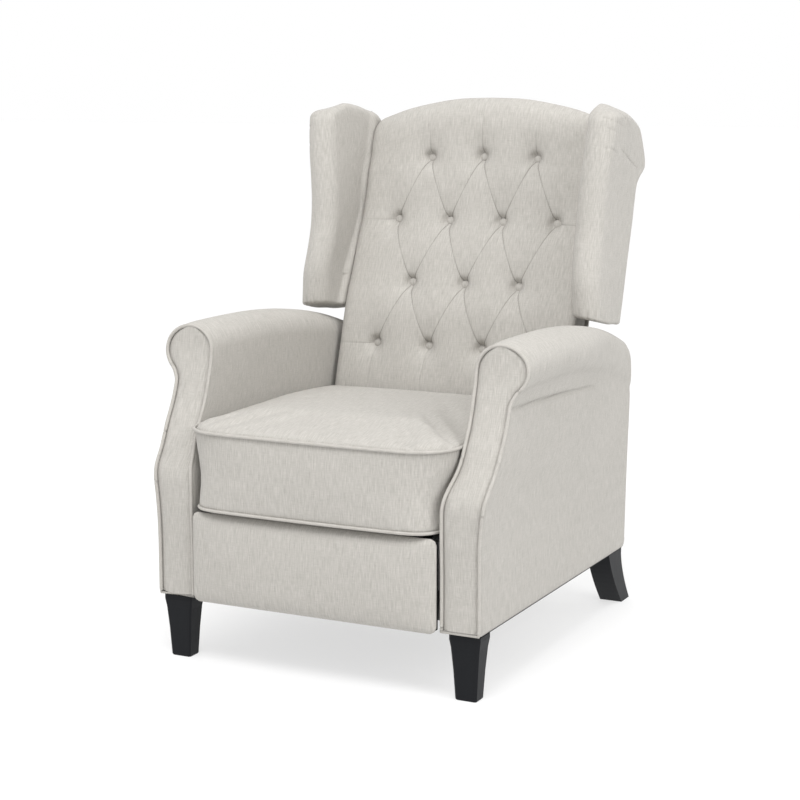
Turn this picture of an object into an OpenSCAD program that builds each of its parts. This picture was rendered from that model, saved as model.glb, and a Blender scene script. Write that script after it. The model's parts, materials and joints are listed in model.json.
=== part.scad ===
// Push-back wing recliner with tufted back, scroll arms and a folding footrest.
// Millimetres. The chair faces -Y, +Z is up, +X is the sitter's left.
// The origin is on the floor under the middle of the chair.

/* [Arms] */
// Half of the clear width between the arms
inner_half = 244.5; // [230:0.5:270]
// Thickness of an arm panel below its roll
arm_t = 75; // [60:1:95]
// Front face of the arms below the roll, from the middle of the chair
arm_front = 386; // [370:1:400]
// Rear face of the arms at its widest, from the middle of the chair
arm_rear = 352; // [330:1:370]
// Height of the arm roll's top at the front
arm_top = 604; // [570:1:640]
// Radius of the arm roll
roll_r = 47; // [36:1:54]
// How far the roll stands out from the side panel at the front
roll_out = 42; // [20:1:46]
// Gap between the top of the legs and the upholstery's lower edge
skirt_gap = 2; // [1:0.5:4]
// Radius of the piping cord
welt_r = 3.2; // [2:0.2:4]

/* [Legs and base] */
// Height of the legs
leg_h = 115; // [90:1:135]
// Side of a front leg at its top
leg_top = 58; // [44:1:60]
// Side of a front leg at its foot
leg_foot = 40; // [26:1:42]
// Thickness of a rear leg
rear_leg_t = 46; // [34:1:52]
// How far a rear leg's foot is swept back from its top
rear_leg_sweep = 66; // [30:1:80]
// Thickness of the hardwood rails under the arms
arm_rail_t = 16; // [12:1:22]
// Height of the top of the rear apron
apron_top = 330; // [240:5:340]
// Thickness of the rear apron
apron_t = 20; // [14:1:26]
// Side of the square cross tubes
tube_w = 22; // [16:1:26]

/* [Seat] */
// Height of the seat springs' upper side, where the cushion lies
deck_z = 285; // [282:1:292]
// Gap between the cushion and each arm
cushion_gap = 7.5; // [4:0.5:20]
// Front of the cushion from the middle of the chair
cushion_front = 414; // [400:1:420]
// Height of the cushion between its two seams
cushion_h = 140; // [110:1:160]
// Crown of the cushion over its upper seam
cushion_crown = 21; // [6:1:26]
// Height of the wooden seat rails
rail_h = 44; // [34:1:50]
// Thickness of the wooden seat rails
rail_t = 24; // [18:1:28]
// Number of zigzag springs
spring_count = 5; // [4:1:6]
// Thickness of the spring wire
wire_t = 4; // [3:0.2:4.4]
// Number of full waves in one spring
spring_waves = 11; // [8:1:13]

/* [Mechanism] */
// Thickness of the mechanism's links
link_t = 4; // [3:0.25:4]
// Width of the mechanism's links
link_w = 16; // [14:0.5:16.5]
// Radius of the pivot pins
pin_r = 4; // [3:0.25:4.5]
// Clearance between a pin and its hole, on the radius
pin_gap = 0.3; // [0.2:0.05:0.5]
// Side gap between neighbouring links
side_gap = 1; // [0.8:0.1:1.2]
// Distance between the pins of one half link of the footrest linkage
cell = 68; // [60:1:69]
// Angle between each folded link and the linkage's middle line
fold = 83; // [82:0.5:84]
// Turn of each link of the footrest linkage over its travel
unfold = 75; // [60:1:75]
// Rise of the linkage's middle line, in degrees
climb = 5; // [3:0.5:7]
// Length of the seat's swing links, pin to pin
swing_l = 90; // [80:1:92]
// Lean of the swing links from the forward level, with the footrest in
swing_lean = 130; // [125:1:132]
// Distance between the front and the rear swing links
swing_base = 210; // [180:1:220]
// Oversize of the drive link's lost-motion hole, on the radius
lost_motion = 2.4; // [2:0.1:2.8]

/* [Footrest] */
// Gap between the footrest panel and each arm
foot_gap = 3.5; // [3:0.5:20]
// Height of the footrest panel
foot_h = 160; // [140:1:161]
// Thickness of the footrest's board
foot_board_t = 12; // [9:1:15]
// Depth of the footrest's padding at its crown
foot_pad = 26; // [14:1:30]

/* [Back] */
// Height of the crest above the floor
total_h = 1010; // [980:1:1040]
// Lean of the back from the upright, with the chair closed
back_lean = 17.1; // [16:0.1:18]
// Gap between the tufted inside back and each arm
back_gap = 7; // [4:0.5:12]
// Distance between the buttons of one row
button_pitch = 116.5; // [104:0.5:120]
// Radius of a covered button
button_r = 8; // [6:0.5:10]
// How deep a button sits below the puffs around it
tuft_depth = 22; // [12:1:26]
// Thickness of the wooden back frame
stile_t = 19; // [15:1:19]
// Width of a stile
stile_w = 24; // [18:1:24]
// Thickness of the outside back panel
outside_t = 6; // [4:0.5:7]
// Radius of a wing's rounded front
wing_r = 30; // [26:1:32]

/* [Hidden] */
$fn = 32;

linen = "#d8cfc2";
steel = "#8a8d90";
black_steel = "#2e2e30";
timber = "#b08a5c";
dark_wood = "#2b211c";
clear = 0.3;

// Pieces between the arms take their width from the clear width and their gaps
skirt_z = leg_h + skirt_gap;
foot_w = 2 * (inner_half - foot_gap);
back_low_half = inner_half - back_gap;
back_half = back_low_half + 12;
back_step_z = 415;

// Layers of the mechanism, as distances from the middle of the chair to each inner face
plate_x = inner_half - 32.5;
inner_link_x = plate_x + link_t + side_gap;
outer_link_x = inner_link_x + link_t + side_gap;
swing_x = outer_link_x + link_t + 1.5 * side_gap;
drive_x = swing_x + link_t + 2.5 * side_gap;
base_x = inner_half - link_t;
head_r = pin_r + 2.5;
head_t = 1.2;
eye_r = link_w / 2;

// Points in the side view are [y, z]. An angle counts up from straight ahead.
function ahead(a) = [-cos(a), sin(a)];

// Footrest linkage, folded: two families of parallel links cross each other
hang_dir = climb - fold;
rise_dir = climb + fold;
hang = cell * ahead(hang_dir);
rise = cell * ahead(rise_dir);
pin_hang = [-320, 268];
pin_cross = pin_hang + hang;
pin_low = pin_cross + hang;
pin_slide = pin_cross - rise;
pin_high = pin_cross + rise;
pin_cross_2 = pin_high + hang;
pin_low_2 = pin_cross_2 + hang;
pin_foot = pin_cross_2 + rise;
pin_foot_low = pin_foot + hang;
slide_end = pin_hang + cell * ahead(hang_dir + unfold) - cell * ahead(rise_dir - unfold);

// Seat swing: equal and parallel links, so the seat stays level as it glides
pin_swing_top = pin_hang + [170, -60];
pin_swing_foot = pin_swing_top - swing_l * ahead(swing_lean);
pin_crank = pin_swing_top + 56 * ahead(-136);
pin_drive = pin_hang + 22 * ahead(160);
// The lost-motion hole lies a little ahead of the crank's pin, so its play is used both ways
lost_hole = pin_crank + [-1.35, 0.83];
rear_shift = [swing_base, 0];

// Back hinge and the back's own directions in the side view
pin_back = [165, 262];
function back_at(v, w) = pin_back
  + v * [cos(back_lean), -sin(back_lean)] + w * [sin(back_lean), cos(back_lean)];
stile_v = -8;
back_low = 36;
back_high = 622 + (total_h - 1010) / cos(back_lean);

// Smooth curve through [position, value] pairs
function key_slope(k, i) = (k[min(i + 1, len(k) - 1)][1] - k[max(i - 1, 0)][1])
  / (k[min(i + 1, len(k) - 1)][0] - k[max(i - 1, 0)][0]);
function curve(k, x) =
  let (
    i = max([0, for (j = [0 : len(k) - 2]) if (k[j][0] <= x) j]),
    h = k[i + 1][0] - k[i][0],
    s = max(0, min(1, (x - k[i][0]) / h)),
    a = key_slope(k, i) * h,
    b = key_slope(k, i + 1) * h
  ) (2 * s * s * s - 3 * s * s + 1) * k[i][1] + (s * s * s - 2 * s * s + s) * a
    + (3 * s * s - 2 * s * s * s) * k[i + 1][1] + (s * s * s - s * s) * b;
function mix(a, b, t) = a + (b - a) * t;
function unit(v) = v / norm(v);
function ease(t) = let (s = max(0, min(1, t))) s * s * (3 - 2 * s);
function bent(v, power) = sign(v) * pow(abs(v), power);
function bell(d, r) = exp(-(d / r) * (d / r));

// Outline moved inwards; the loop runs so that its left side is the inside
function inset(loop, d) =
  let (n = len(loop))
  [for (i = [0 : n - 1])
    let (t = unit(loop[(i + 1) % n] - loop[(i + n - 1) % n]))
    loop[i] + d * [-t[1], t[0]]];

// Closed skin over rings of equal length. Each ring's second half runs back
// along its first, and the ends are closed by strips between the two halves.
module skin(rings) {
  n = len(rings[0]);
  m = len(rings);
  half = n / 2;
  points = [for (r = rings) each r];
  sides = [for (i = [0 : m - 2]) for (j = [0 : n - 1])
    let (a = i * n + j, b = i * n + (j + 1) % n) each [[a, b, b + n], [a, b + n, a + n]]];
  first = [for (j = [0 : half - 2]) each [[j, n - 1 - j, j + 1], [j + 1, n - 1 - j, n - 2 - j]]];
  o = (m - 1) * n;
  last = [for (j = [0 : half - 2])
    each [[o + j, o + j + 1, o + n - 1 - j], [o + j + 1, o + n - 2 - j, o + n - 1 - j]]];
  polyhedron(points, concat(sides, first, last), convexity = 8);
}

// Closed tube along a closed path; up is any direction that the path never takes
module cord_loop(path, r, up, sides = 6) {
  n = len(path);
  points = [for (i = [0 : n - 1])
    let (
      t = unit(path[(i + 1) % n] - path[(i + n - 1) % n]),
      a = unit(cross(t, up)),
      b = cross(a, t)
    ) for (k = [0 : sides - 1])
      path[i] + r * (cos(360 * k / sides) * a + sin(360 * k / sides) * b)];
  faces = [for (i = [0 : n - 1]) for (k = [0 : sides - 1])
    let (
      a = i * sides + k, b = i * sides + (k + 1) % sides,
      c = ((i + 1) % n) * sides + k, d = ((i + 1) % n) * sides + (k + 1) % sides
    ) each [[a, b, d], [a, d, c]]];
  polyhedron(points, faces, convexity = 6);
}

// Stadium outline round two points, with its own radius at each end
function strap_outline(p, q, rp, rq) =
  let (d = q - p, a = atan2(d[1], d[0]), k = asin((rp - rq) / norm(d)), n = 7)
  concat(
    [for (i = [0 : n]) let (b = a - 90 + k + (180 - 2 * k) * i / n) q + rq * [cos(b), sin(b)]],
    [for (i = [0 : n]) let (b = a + 90 - k + (180 + 2 * k) * i / n) p + rp * [cos(b), sin(b)]]
  );

// A flat piece that stands along the chair: drawn as [y, z], lying from x to x + t
module slab(x, t) {
  translate([x, 0, 0]) rotate([90, 0, 90]) linear_extrude(t) children();
}

module strap(x, p, q, rp = eye_r, rq = eye_r) {
  slab(x, link_t) polygon(strap_outline(p, q, rp, rq));
}

// Round bar across the chair at a point of the side view
module bar(x, l, p, r) {
  translate([x, p[0], p[1]]) rotate([0, 90, 0]) cylinder(r = r, h = l);
}

// Hole through a link that lies at x
module eye(x, p, r = pin_r + pin_gap) {
  bar(x - 1, link_t + 2, p, r);
}

// Pin that stands on a link's outer side and carries the next layer
module stud(x, p, l) {
  bar(x, l, p, pin_r);
  bar(x + l, head_t, p, head_r);
}

module both(left) {
  if (left) children();
  else mirror([1, 0, 0]) children();
}

// Arms
arm_low = -arm_front;
function arm_face(z) = curve([[110, arm_low], [210, arm_low], [300, arm_low - 2], [345, arm_low + 2],
  [385, arm_low + 30], [420, arm_low + 50], [461, arm_low + 73], [505, arm_low + 89],
  [545, arm_low + 99], [610, arm_low + 103]], z + 602 - arm_top);
function arm_tail(z) = curve([[110, arm_rear - 18], [300, arm_rear - 8], [430, arm_rear - 3],
  [475, arm_rear - 5], [508, arm_rear - 12], [536, arm_rear - 30]], z);
function arm_line(y) = arm_top + curve([[-295, -5], [-255, -1], [-90, 0], [12, -5], [89, -13],
  [152, -22], [224, -37], [310, -61], [352, -76]], y);
arm_step = 16.5;
function arm_inner(z) = inner_half + arm_step * ease((z - 325) / 90);
roll_x = inner_half + arm_step + roll_r;
side_x = inner_half + arm_t;

// Level j of an arm's section, as [outer x, inner x, z], at a place y along the arm.
// The panel steps outwards on its way up to the roll, and the section squares off to the rear.
arm_levels = 14;
arm_low_levels = 7;
function arm_level(j, y) =
  let (
    fade = curve([[-290, 1], [0, 1], [107, 0.72], [180, 0.45], [352, 0.08]], y),
    zc = arm_line(y) - roll_r,
    neck = zc - 54,
    power = 2 / (2 + 1.3 * (1 - fade)),
    a = [-50, -30, -10, 14, 36, 58, 78][max(0, j - arm_low_levels)],
    z = j < arm_low_levels
      ? [skirt_z, skirt_z + 8, 230, mix(230, neck, 0.35), mix(230, neck, 0.6), mix(230, neck, 0.82),
         neck][j]
      : zc + roll_r * bent(sin(a), power),
    roll = (side_x - roll_x + roll_out * fade) * bent(cos(a), power),
    outer = j == 0 ? side_x - 4 : j < arm_low_levels
      ? side_x - fade + 15 * fade * ease((z - 250) / 190) : roll_x + roll,
    inner = z > zc ? roll_x - roll_r * bent(cos(a), power) : arm_inner(z)
  ) [outer, inner, z];

// Ring of the arm at share s of its length, drawn in by d
function arm_ring(s, d, push) =
  let (
    y0 = mix(arm_low + 100, arm_rear, s),
    side = [for (j = [0 : arm_levels - 1]) arm_level(j, y0)],
    inner = [for (j = [arm_levels - 1 : -1 : 0]) [side[j][1], side[j][2]]],
    loop = inset(concat([for (p = side) [p[0], p[2]]], inner), d)
  ) [for (p = loop) [p[0], mix(arm_face(p[1]), arm_tail(p[1]), s) + push, p[1]]];

arm_edge = 5;
module arm(left) {
  shares = [0.07, 0.18, 0.3, 0.42, 0.52, 0.6, 0.68, 0.76, 0.84, 0.91, 0.97];
  color(linen) both(left) difference() {
    skin(concat(
      [arm_ring(0, arm_edge, 0), arm_ring(0, 0, arm_edge)],
      [for (s = shares) arm_ring(s, 0, 0)],
      [arm_ring(1, 1, -6), arm_ring(1, 9, 0)]
    ));
    translate([arm_rail_x - clear, arm_rail_y - clear, 0])
      cube([arm_rail_w + 2 * clear, arm_rail_l + 2 * clear, leg_h + arm_rail_t + clear]);
  }
}

module arm_piping(left) {
  ring = arm_ring(0, 2.8, 0);
  path = [for (i = [0 : len(ring) - 1]) let (q = ring[(i + 1) % len(ring)])
    each norm(q - ring[i]) > 60 ? [ring[i], mix(ring[i], q, 0.5)] : [ring[i]]];
  color(linen) both(left)
    cord_loop([for (p = path) [p[0], arm_face(p[2]) - 1.6, p[2]]], welt_r, [0, 1, 0]);
}

// Hardwood rails under the arms, which carry the legs
arm_rail_x = inner_half + 8;
arm_rail_w = arm_t - 14;
arm_rail_y = arm_low + 12;
arm_rail_l = arm_front + arm_rear - 46;
front_leg_at = [side_x - 34, arm_low + 27];
rear_leg_at = [side_x - 30.5, arm_rear - 67];
bolt_r = 4;

module leg_bores(top) {
  for (p = [front_leg_at, rear_leg_at])
    translate([p[0], p[1], leg_h - 35]) cylinder(r = bolt_r + 0.2, h = top);
}

module arm_rail(left) {
  color(timber) both(left) difference() {
    translate([arm_rail_x, arm_rail_y, leg_h]) cube([arm_rail_w, arm_rail_l, arm_rail_t]);
    leg_bores(100);
  }
}

module front_leg(left) {
  color(dark_wood) both(left) difference() {
    skin([for (k = [[leg_h, leg_top], [leg_h - 8, leg_top], [leg_h * 0.8, leg_top - 5],
                    [leg_h * 0.45, leg_foot + 6], [2, leg_foot], [0, leg_foot - 3]])
      let (h = k[1] / 2, c = 3)
      [for (p = [[-h + c, -h], [-h, -h + c], [-h, h - c], [-h + c, h],
                 [h - c, h], [h, h - c], [h, -h + c], [h - c, -h]])
        [front_leg_at[0] + p[1], front_leg_at[1] + p[0] * 0.76, k[0]]]]);
    leg_bores(100);
  }
}

// Rear leg: a sabre leg with curved front and rear edges
rear_leg_top = 72;
rear_leg_foot = 44;
function sabre(z, side) =
  let (t = 1 - z / leg_h) [rear_leg_at[1] + rear_leg_sweep * pow(t, 1.5)
    + side * mix(rear_leg_top, rear_leg_foot, pow(t, 0.7)) / 2, z];

module rear_leg(left) {
  steps = 10;
  color(dark_wood) both(left) difference() {
    slab(rear_leg_at[0] - rear_leg_t / 2, rear_leg_t) polygon(concat(
      [for (i = [0 : steps]) sabre(leg_h * i / steps, -1)],
      [for (i = [steps : -1 : 0]) sabre(leg_h * i / steps, 1)]
    ));
    leg_bores(100);
  }
}

module leg_bolts() {
  color(steel) for (left = [true, false]) both(left)
    for (p = [front_leg_at, rear_leg_at])
      translate([p[0], p[1], leg_h - 35]) cylinder(r = bolt_r, h = 35 + arm_rail_t);
}

module rear_apron() {
  color(linen) translate([-inner_half + clear, arm_rear - 14 - apron_t, skirt_z])
    cube([2 * (inner_half - clear), apron_t, apron_top - skirt_z]);
}

// Mechanism: fixed plates on the arms' inner faces
module base_plate(left) {
  p = pin_swing_foot + [-70, 0];
  q = pin_swing_foot + rear_shift + [50, 0];
  color(steel) both(left) {
    strap(base_x, p, q, 13, 13);
    for (c = [pin_swing_foot, pin_swing_foot + rear_shift]) {
      bar(swing_x - side_gap, base_x - swing_x + side_gap, c, pin_r);
      bar(swing_x - side_gap / 2 - head_t, head_t, c, head_r);
    }
  }
}

module base_cross_tubes() {
  color(black_steel) for (c = [pin_swing_foot + [-54, -4], pin_swing_foot + rear_shift + [34, -4]])
    difference() {
      translate([-base_x, c[0] - tube_w / 2, c[1] - tube_w / 2]) cube([2 * base_x, tube_w, tube_w]);
      translate([-base_x - 1, c[0] - tube_w / 2 + 2, c[1] - tube_w / 2 + 2])
        cube([2 * base_x + 2, tube_w - 4, tube_w - 4]);
    }
}

// Front swing link: a bell crank whose short arm works the drive link
module front_swing(left) {
  color(steel) both(left) difference() {
    union() {
      strap(swing_x, pin_swing_foot, pin_swing_top, 10, 11);
      strap(swing_x, pin_swing_top, pin_crank, 11, eye_r);
      bar(swing_x + link_t, drive_x - swing_x + side_gap / 2, pin_crank, pin_r);
      bar(drive_x + link_t + side_gap / 2, head_t, pin_crank, pin_r + lost_motion + 1.6);
    }
    eye(swing_x, pin_swing_foot);
    eye(swing_x, pin_swing_top);
  }
}

module rear_swing(left) {
  color(steel) both(left) difference() {
    strap(swing_x, pin_swing_foot + rear_shift, pin_swing_top + rear_shift, 10, 11);
    eye(swing_x, pin_swing_foot + rear_shift);
    eye(swing_x, pin_swing_top + rear_shift);
  }
}

// Seat plate: carries the whole seat, with the guide slot of the footrest linkage
module seat_plate(left) {
  top = deck_z - 9;
  rear = pin_swing_top + rear_shift;
  slot_dir = unit(slide_end - pin_slide);
  color(steel) both(left) {
    difference() {
      slab(plate_x, link_t) polygon([
        [pin_slide[0] - 15, pin_slide[1] - 10], [pin_slide[0] + 15, pin_slide[1] - 10],
        [pin_slide[0] + 26, pin_hang[1] - 78], [pin_swing_top[0] - 30, pin_swing_top[1] - 8],
        [pin_swing_top[0] - 12, pin_swing_top[1] - 14], [pin_swing_top[0] + 14, pin_swing_top[1] - 14],
        [pin_swing_top[0] + 34, pin_swing_top[1] + 10], [rear[0] - 34, rear[1] + 10],
        [rear[0] - 14, rear[1] - 14], [rear[0] + 14, rear[1] - 14],
        [pin_back[0] - 6, pin_back[1] - 16], [pin_back[0] + 8, pin_back[1] - 14],
        [pin_back[0] + 15, pin_back[1] - 4], [pin_back[0] + 14, pin_back[1] + 8],
        [pin_back[0] + 4, top], [pin_hang[0] - 10, top], [pin_hang[0] - 26, top - 10]
      ]);
      slab(plate_x - 1, link_t + 2) polygon(strap_outline(
        pin_slide - slot_dir, slide_end + slot_dir, pin_r + pin_gap, pin_r + pin_gap));
    }
    // Shouldered pin of the hanger link
    bar(plate_x + link_t, outer_link_x - side_gap / 2 - plate_x - link_t, pin_hang, eye_r);
    stud(plate_x + link_t, pin_hang, outer_link_x + link_t + side_gap / 2 - plate_x - link_t);
    // Shouldered pins of the swing links
    for (c = [pin_swing_top, rear]) {
      bar(plate_x + link_t, swing_x - side_gap / 2 - plate_x - link_t, c, eye_r);
      stud(plate_x + link_t, c, swing_x + link_t + side_gap / 2 - plate_x - link_t);
    }
    // Hinge pin of the back
    stud(plate_x + link_t, pin_back, link_t + 1.5 * side_gap);
    // Spacers between the plate and the wooden rail
    for (y = [pin_hang[0] + 60, 0, seat_rear - 40])
      bar(rail_x + rail_t, plate_x - rail_x - rail_t, [y, deck_z - wire_t - rail_h / 2], 9);
  }
}

seat_front = pin_hang[0] - 54;
seat_rear = pin_back[0] - 57;
rail_x = plate_x - 4 - rail_t;

module seat_cross_tube() {
  c = pin_swing_top + [50, 14];
  color(black_steel) difference() {
    bar(-plate_x, 2 * plate_x, c, tube_w / 2);
    bar(-plate_x - 1, 2 * plate_x + 2, c, tube_w / 2 - 2);
  }
}

module seat_rail(left) {
  color(timber) both(left)
    translate([rail_x, seat_front + 22, deck_z - wire_t - rail_h])
      cube([rail_t, seat_rear - seat_front - 22, rail_h]);
}

module seat_rail_front() {
  color(timber) translate([-rail_x - rail_t, seat_front, deck_z - wire_t - rail_h])
    cube([2 * (rail_x + rail_t), 22, rail_h]);
}

module seat_rail_rear() {
  color(timber) translate([-rail_x, seat_rear - 22, deck_z - wire_t - rail_h])
    cube([2 * rail_x, 22, rail_h]);
}

// Zigzag springs from the front rail to the rear rail
function spring_place(i) = mix(-1, 1, i / (spring_count - 1)) * (rail_x - 44);
function wave_at(t) = [21 * sin(360 * spring_waves * t), mix(seat_front + 13, seat_rear - 13, t)];
function wave_side(t) =
  let (d = wave_at(t + 0.0005) - wave_at(t - 0.0005)) unit([-d[1], d[0]]) * wire_t / 2;

module seat_springs() {
  steps = spring_waves * 8;
  color(black_steel) for (i = [0 : spring_count - 1])
    translate([spring_place(i), 0, deck_z - wire_t]) linear_extrude(wire_t) polygon(concat(
      [for (k = [0 : steps]) wave_at(k / steps) + wave_side(k / steps)],
      [for (k = [steps : -1 : 0]) wave_at(k / steps) - wave_side(k / steps)]
    ));
}

// Clips stand beside each spring's end and hold it to the rail
module spring_clips() {
  color(steel) for (i = [0 : spring_count - 1]) for (y = [seat_front + 3, seat_rear - 11])
    translate([spring_place(i) - 14, y, deck_z - wire_t]) difference() {
      cube([28, 8, wire_t]);
      translate([1.5, -1, -1]) cube([25, 10, wire_t + 2]);
    }
}

// Cushion: boxed, with a crown, drawn-in sides and rounded front corners
cushion_low = deck_z + 3;
cushion_rear = -110;
function cushion_loop(d, z) =
  let (
    w = arm_inner(z) - cushion_gap - d, f = -cushion_front + d,
    r = 50 + 24 * ease((z - 325) / 90), b = -cushion_rear - d,
    side_y = [for (t = [0, 0.16, 0.37, 0.58, 0.79, 0.97]) mix(b, f + r, t)]
  ) [
    for (y = side_y) [w - 1.5 * sin(180 * (b - y) / (b - f)), y],
    for (a = [0 : 22.5 : 90]) [w - r + r * cos(a), f + r - r * sin(a)],
    for (x = [w * 0.6, w * 0.36, w * 0.12]) [x, f - 5 * cos(90 * x / w)],
    for (x = [w * 0.12, w * 0.36, w * 0.6]) [-x, f - 5 * cos(90 * x / w)],
    for (a = [90 : -22.5 : 0]) [-w + r - r * cos(a), f + r - r * sin(a)],
    for (i = [5 : -1 : 0]) [-w + 1.5 * sin(180 * (b - side_y[i]) / (b - f)), side_y[i]]
  ];
// The rear face leans with the back
function cushion_at(p, z) = [p[0], p[1] + 0.2 * (z - deck_z) * max(0, min(1, (p[1] + 20) / 100)), z];
// The crown is full along the front and the sides, and falls towards the back
function crown_z(p, h) = h * pow(max(0, 1 - pow(max(0, p[1] + 110) / 235, 2)), 0.8);
function cushion_ring(d, z, crown) =
  let (loop = cushion_loop(d, z)) [for (p = loop) cushion_at(p, z + crown_z(p, crown))];
seam_edge = 5;

module seat_cushion() {
  low = cushion_low;
  high = cushion_low + cushion_h;
  c = cushion_crown;
  color(linen) skin([
    cushion_ring(60, deck_z + clear, 0),
    cushion_ring(9, deck_z + clear + 0.5, 0),
    cushion_ring(0.5, low + seam_edge, 0),
    cushion_ring(2.5, mix(low, high, 0.25), 0),
    cushion_ring(3.5, mix(low, high, 0.45), 0),
    cushion_ring(3.5, mix(low, high, 0.62), 0),
    cushion_ring(2, mix(low, high, 0.8), 0),
    cushion_ring(0.5, high - seam_edge, 0),
    cushion_ring(seam_edge, high, c * 0.3),
    cushion_ring(13, high, c * 0.68),
    cushion_ring(28, high, c * 0.9),
    cushion_ring(56, high, c),
    cushion_ring(110, high, c)
  ]);
}

module seat_welt(z, d) {
  loop = cushion_loop(d, z);
  color(linen) cord_loop([for (p = loop) cushion_at(p, z)], welt_r - 0.2, [0, 0, 1]);
}

module seat_piping_top() {
  seat_welt(cushion_low + cushion_h - 0.6, -0.4);
}

module seat_piping_bottom() {
  seat_welt(cushion_low + 0.9, 1.2);
}

// Drive link: from the bell crank of the front swing link to the hanger link
module drive_link(left) {
  color(steel) both(left) difference() {
    strap(drive_x, lost_hole, pin_drive, pin_r + lost_motion + 4.5, eye_r);
    eye(drive_x, lost_hole, pin_r + lost_motion);
    eye(drive_x, pin_drive);
  }
}

// First crossing pair of the footrest linkage
module hanger_link(left) {
  color(black_steel) both(left) difference() {
    union() {
      strap(outer_link_x, pin_hang, pin_low);
      strap(outer_link_x, pin_hang, pin_drive);
      stud(outer_link_x + link_t, pin_drive, drive_x + side_gap / 2 - outer_link_x);
      for (c = [pin_cross, pin_low])
        bar(inner_link_x - side_gap / 2, outer_link_x - inner_link_x + side_gap / 2, c, pin_r);
    }
    eye(outer_link_x, pin_hang);
  }
}

module slider_link(left) {
  color(steel) both(left) difference() {
    union() {
      strap(inner_link_x, pin_slide, pin_high);
      bar(plate_x - side_gap, inner_link_x - plate_x + side_gap, pin_slide, pin_r);
      bar(plate_x - side_gap - head_t, head_t, pin_slide, head_r);
      bar(inner_link_x + link_t, link_t + 1.5 * side_gap, pin_high, pin_r);
    }
    eye(inner_link_x, pin_cross);
  }
}

// Second crossing pair
module outer_hanger(left) {
  color(black_steel) both(left) difference() {
    union() {
      strap(outer_link_x, pin_high, pin_low_2);
      for (c = [pin_cross_2, pin_low_2])
        bar(inner_link_x - side_gap / 2, outer_link_x - inner_link_x + side_gap / 2, c, pin_r);
    }
    eye(outer_link_x, pin_high);
  }
}

module reach_link(left) {
  color(steel) both(left) difference() {
    union() {
      strap(inner_link_x, pin_low, pin_foot);
      bar(inner_link_x + link_t, link_t + 1.5 * side_gap, pin_foot, pin_r);
    }
    eye(inner_link_x, pin_low);
    eye(inner_link_x, pin_cross_2);
  }
}

module tilt_link(left) {
  color(steel) both(left) difference() {
    union() {
      strap(inner_link_x, pin_low_2, pin_foot_low);
      bar(inner_link_x + link_t, link_t + 1.5 * side_gap, pin_foot_low, pin_r);
    }
    eye(inner_link_x, pin_low_2);
  }
}

// Footrest panel
foot_y = pin_foot_low[0] - eye_r - 3;
foot_low = 276 - foot_h;

module footrest_bracket(left) {
  color(steel) both(left) difference() {
    union() {
      slab(outer_link_x, link_t) polygon([
        [pin_foot[0] + 7, pin_foot[1] - 4], [pin_foot[0] + 6, pin_foot[1] + 4],
        [pin_foot[0], pin_foot[1] + 8], [foot_y, pin_foot[1] + 1], [foot_y, pin_foot_low[1] - 16],
        [pin_foot_low[0] + 2, pin_foot_low[1] - 8], [pin_foot_low[0] + 8, pin_foot_low[1]],
        [pin_foot_low[0] + 7, pin_foot_low[1] + 10]
      ]);
      translate([outer_link_x, foot_y, pin_foot_low[1] - 16])
        cube([16, 3, pin_foot[1] - pin_foot_low[1] + 17]);
    }
    eye(outer_link_x, pin_foot);
    eye(outer_link_x, pin_foot_low);
  }
}

module footrest_board() {
  w = foot_w / 2 - 6;
  color(timber) translate([-w, foot_y - foot_board_t, foot_low + 4])
    cube([2 * w, foot_board_t, foot_h - 8]);
}

// Padding: a soft slab with a crowned face and rounded ends
function foot_loop(d) =
  let (w = foot_w / 2 - d, r = 12, lo = foot_low + d, hi = foot_low + foot_h - d)
  [
    for (z = [lo + r, mix(lo, hi, 0.5), hi - r]) [w, z],
    for (a = [30 : 30 : 90]) [w - r + r * cos(a), hi - r + r * sin(a)],
    for (x = [0.6, 0.2]) [w * x, hi],
    for (x = [0.2, 0.6]) [-w * x, hi],
    for (a = [90 : -30 : 30]) [-w + r - r * cos(a), hi - r + r * sin(a)],
    for (z = [hi - r, mix(lo, hi, 0.5), lo + r]) [-w, z],
    for (a = [30 : 30 : 90]) [-w + r - r * cos(a), lo + r - r * sin(a)],
    for (x = [0.6, 0.2]) [-w * x, lo],
    for (x = [0.2, 0.6]) [w * x, lo],
    for (a = [90 : -30 : 30]) [w - r + r * cos(a), lo + r - r * sin(a)]
  ];
function foot_ring(d, y, crown) =
  let (loop = foot_loop(d))
  [for (p = loop) [p[0], y - crown * pow(max(0, 1 - pow(2 * p[0] / foot_w, 4)), 0.7)
    * pow(max(0, 1 - pow(2 * (p[1] - foot_low) / foot_h - 1, 4)), 0.5), p[1]]];

module footrest_pad() {
  y = foot_y - foot_board_t - clear;
  f = foot_pad;
  color(linen) skin([
    foot_ring(50, y - f * 0.35, f * 0.65), foot_ring(24, y - f * 0.35, f * 0.65),
    foot_ring(9, y - f * 0.35, f * 0.62), foot_ring(3, y - f * 0.3, f * 0.3),
    foot_ring(0, y - f * 0.2, 0), foot_ring(0.5, y - 0.5, 0), foot_ring(8, y, 0)
  ]);
}

// Back frame
module back_bar(x0, x1, v0, v1, w0, w1) {
  slab(x0, x1 - x0) polygon([back_at(v0, w0), back_at(v1, w0), back_at(v1, w1), back_at(v0, w1)]);
}

stile_x = plate_x + link_t + side_gap - stile_w;
module back_stile(left) {
  color(timber) both(left)
    back_bar(stile_x, stile_x + stile_w, stile_v + clear, stile_v + stile_t, back_low, back_high);
}

module back_top_rail() {
  color(timber)
    back_bar(-stile_x, stile_x, stile_v + clear, stile_v + stile_t, back_high - 60, back_high);
}

module back_lower_rail() {
  color(timber)
    back_bar(-stile_x, stile_x, stile_v + clear, stile_v + stile_t, back_low, back_low + 60);
}

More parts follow.
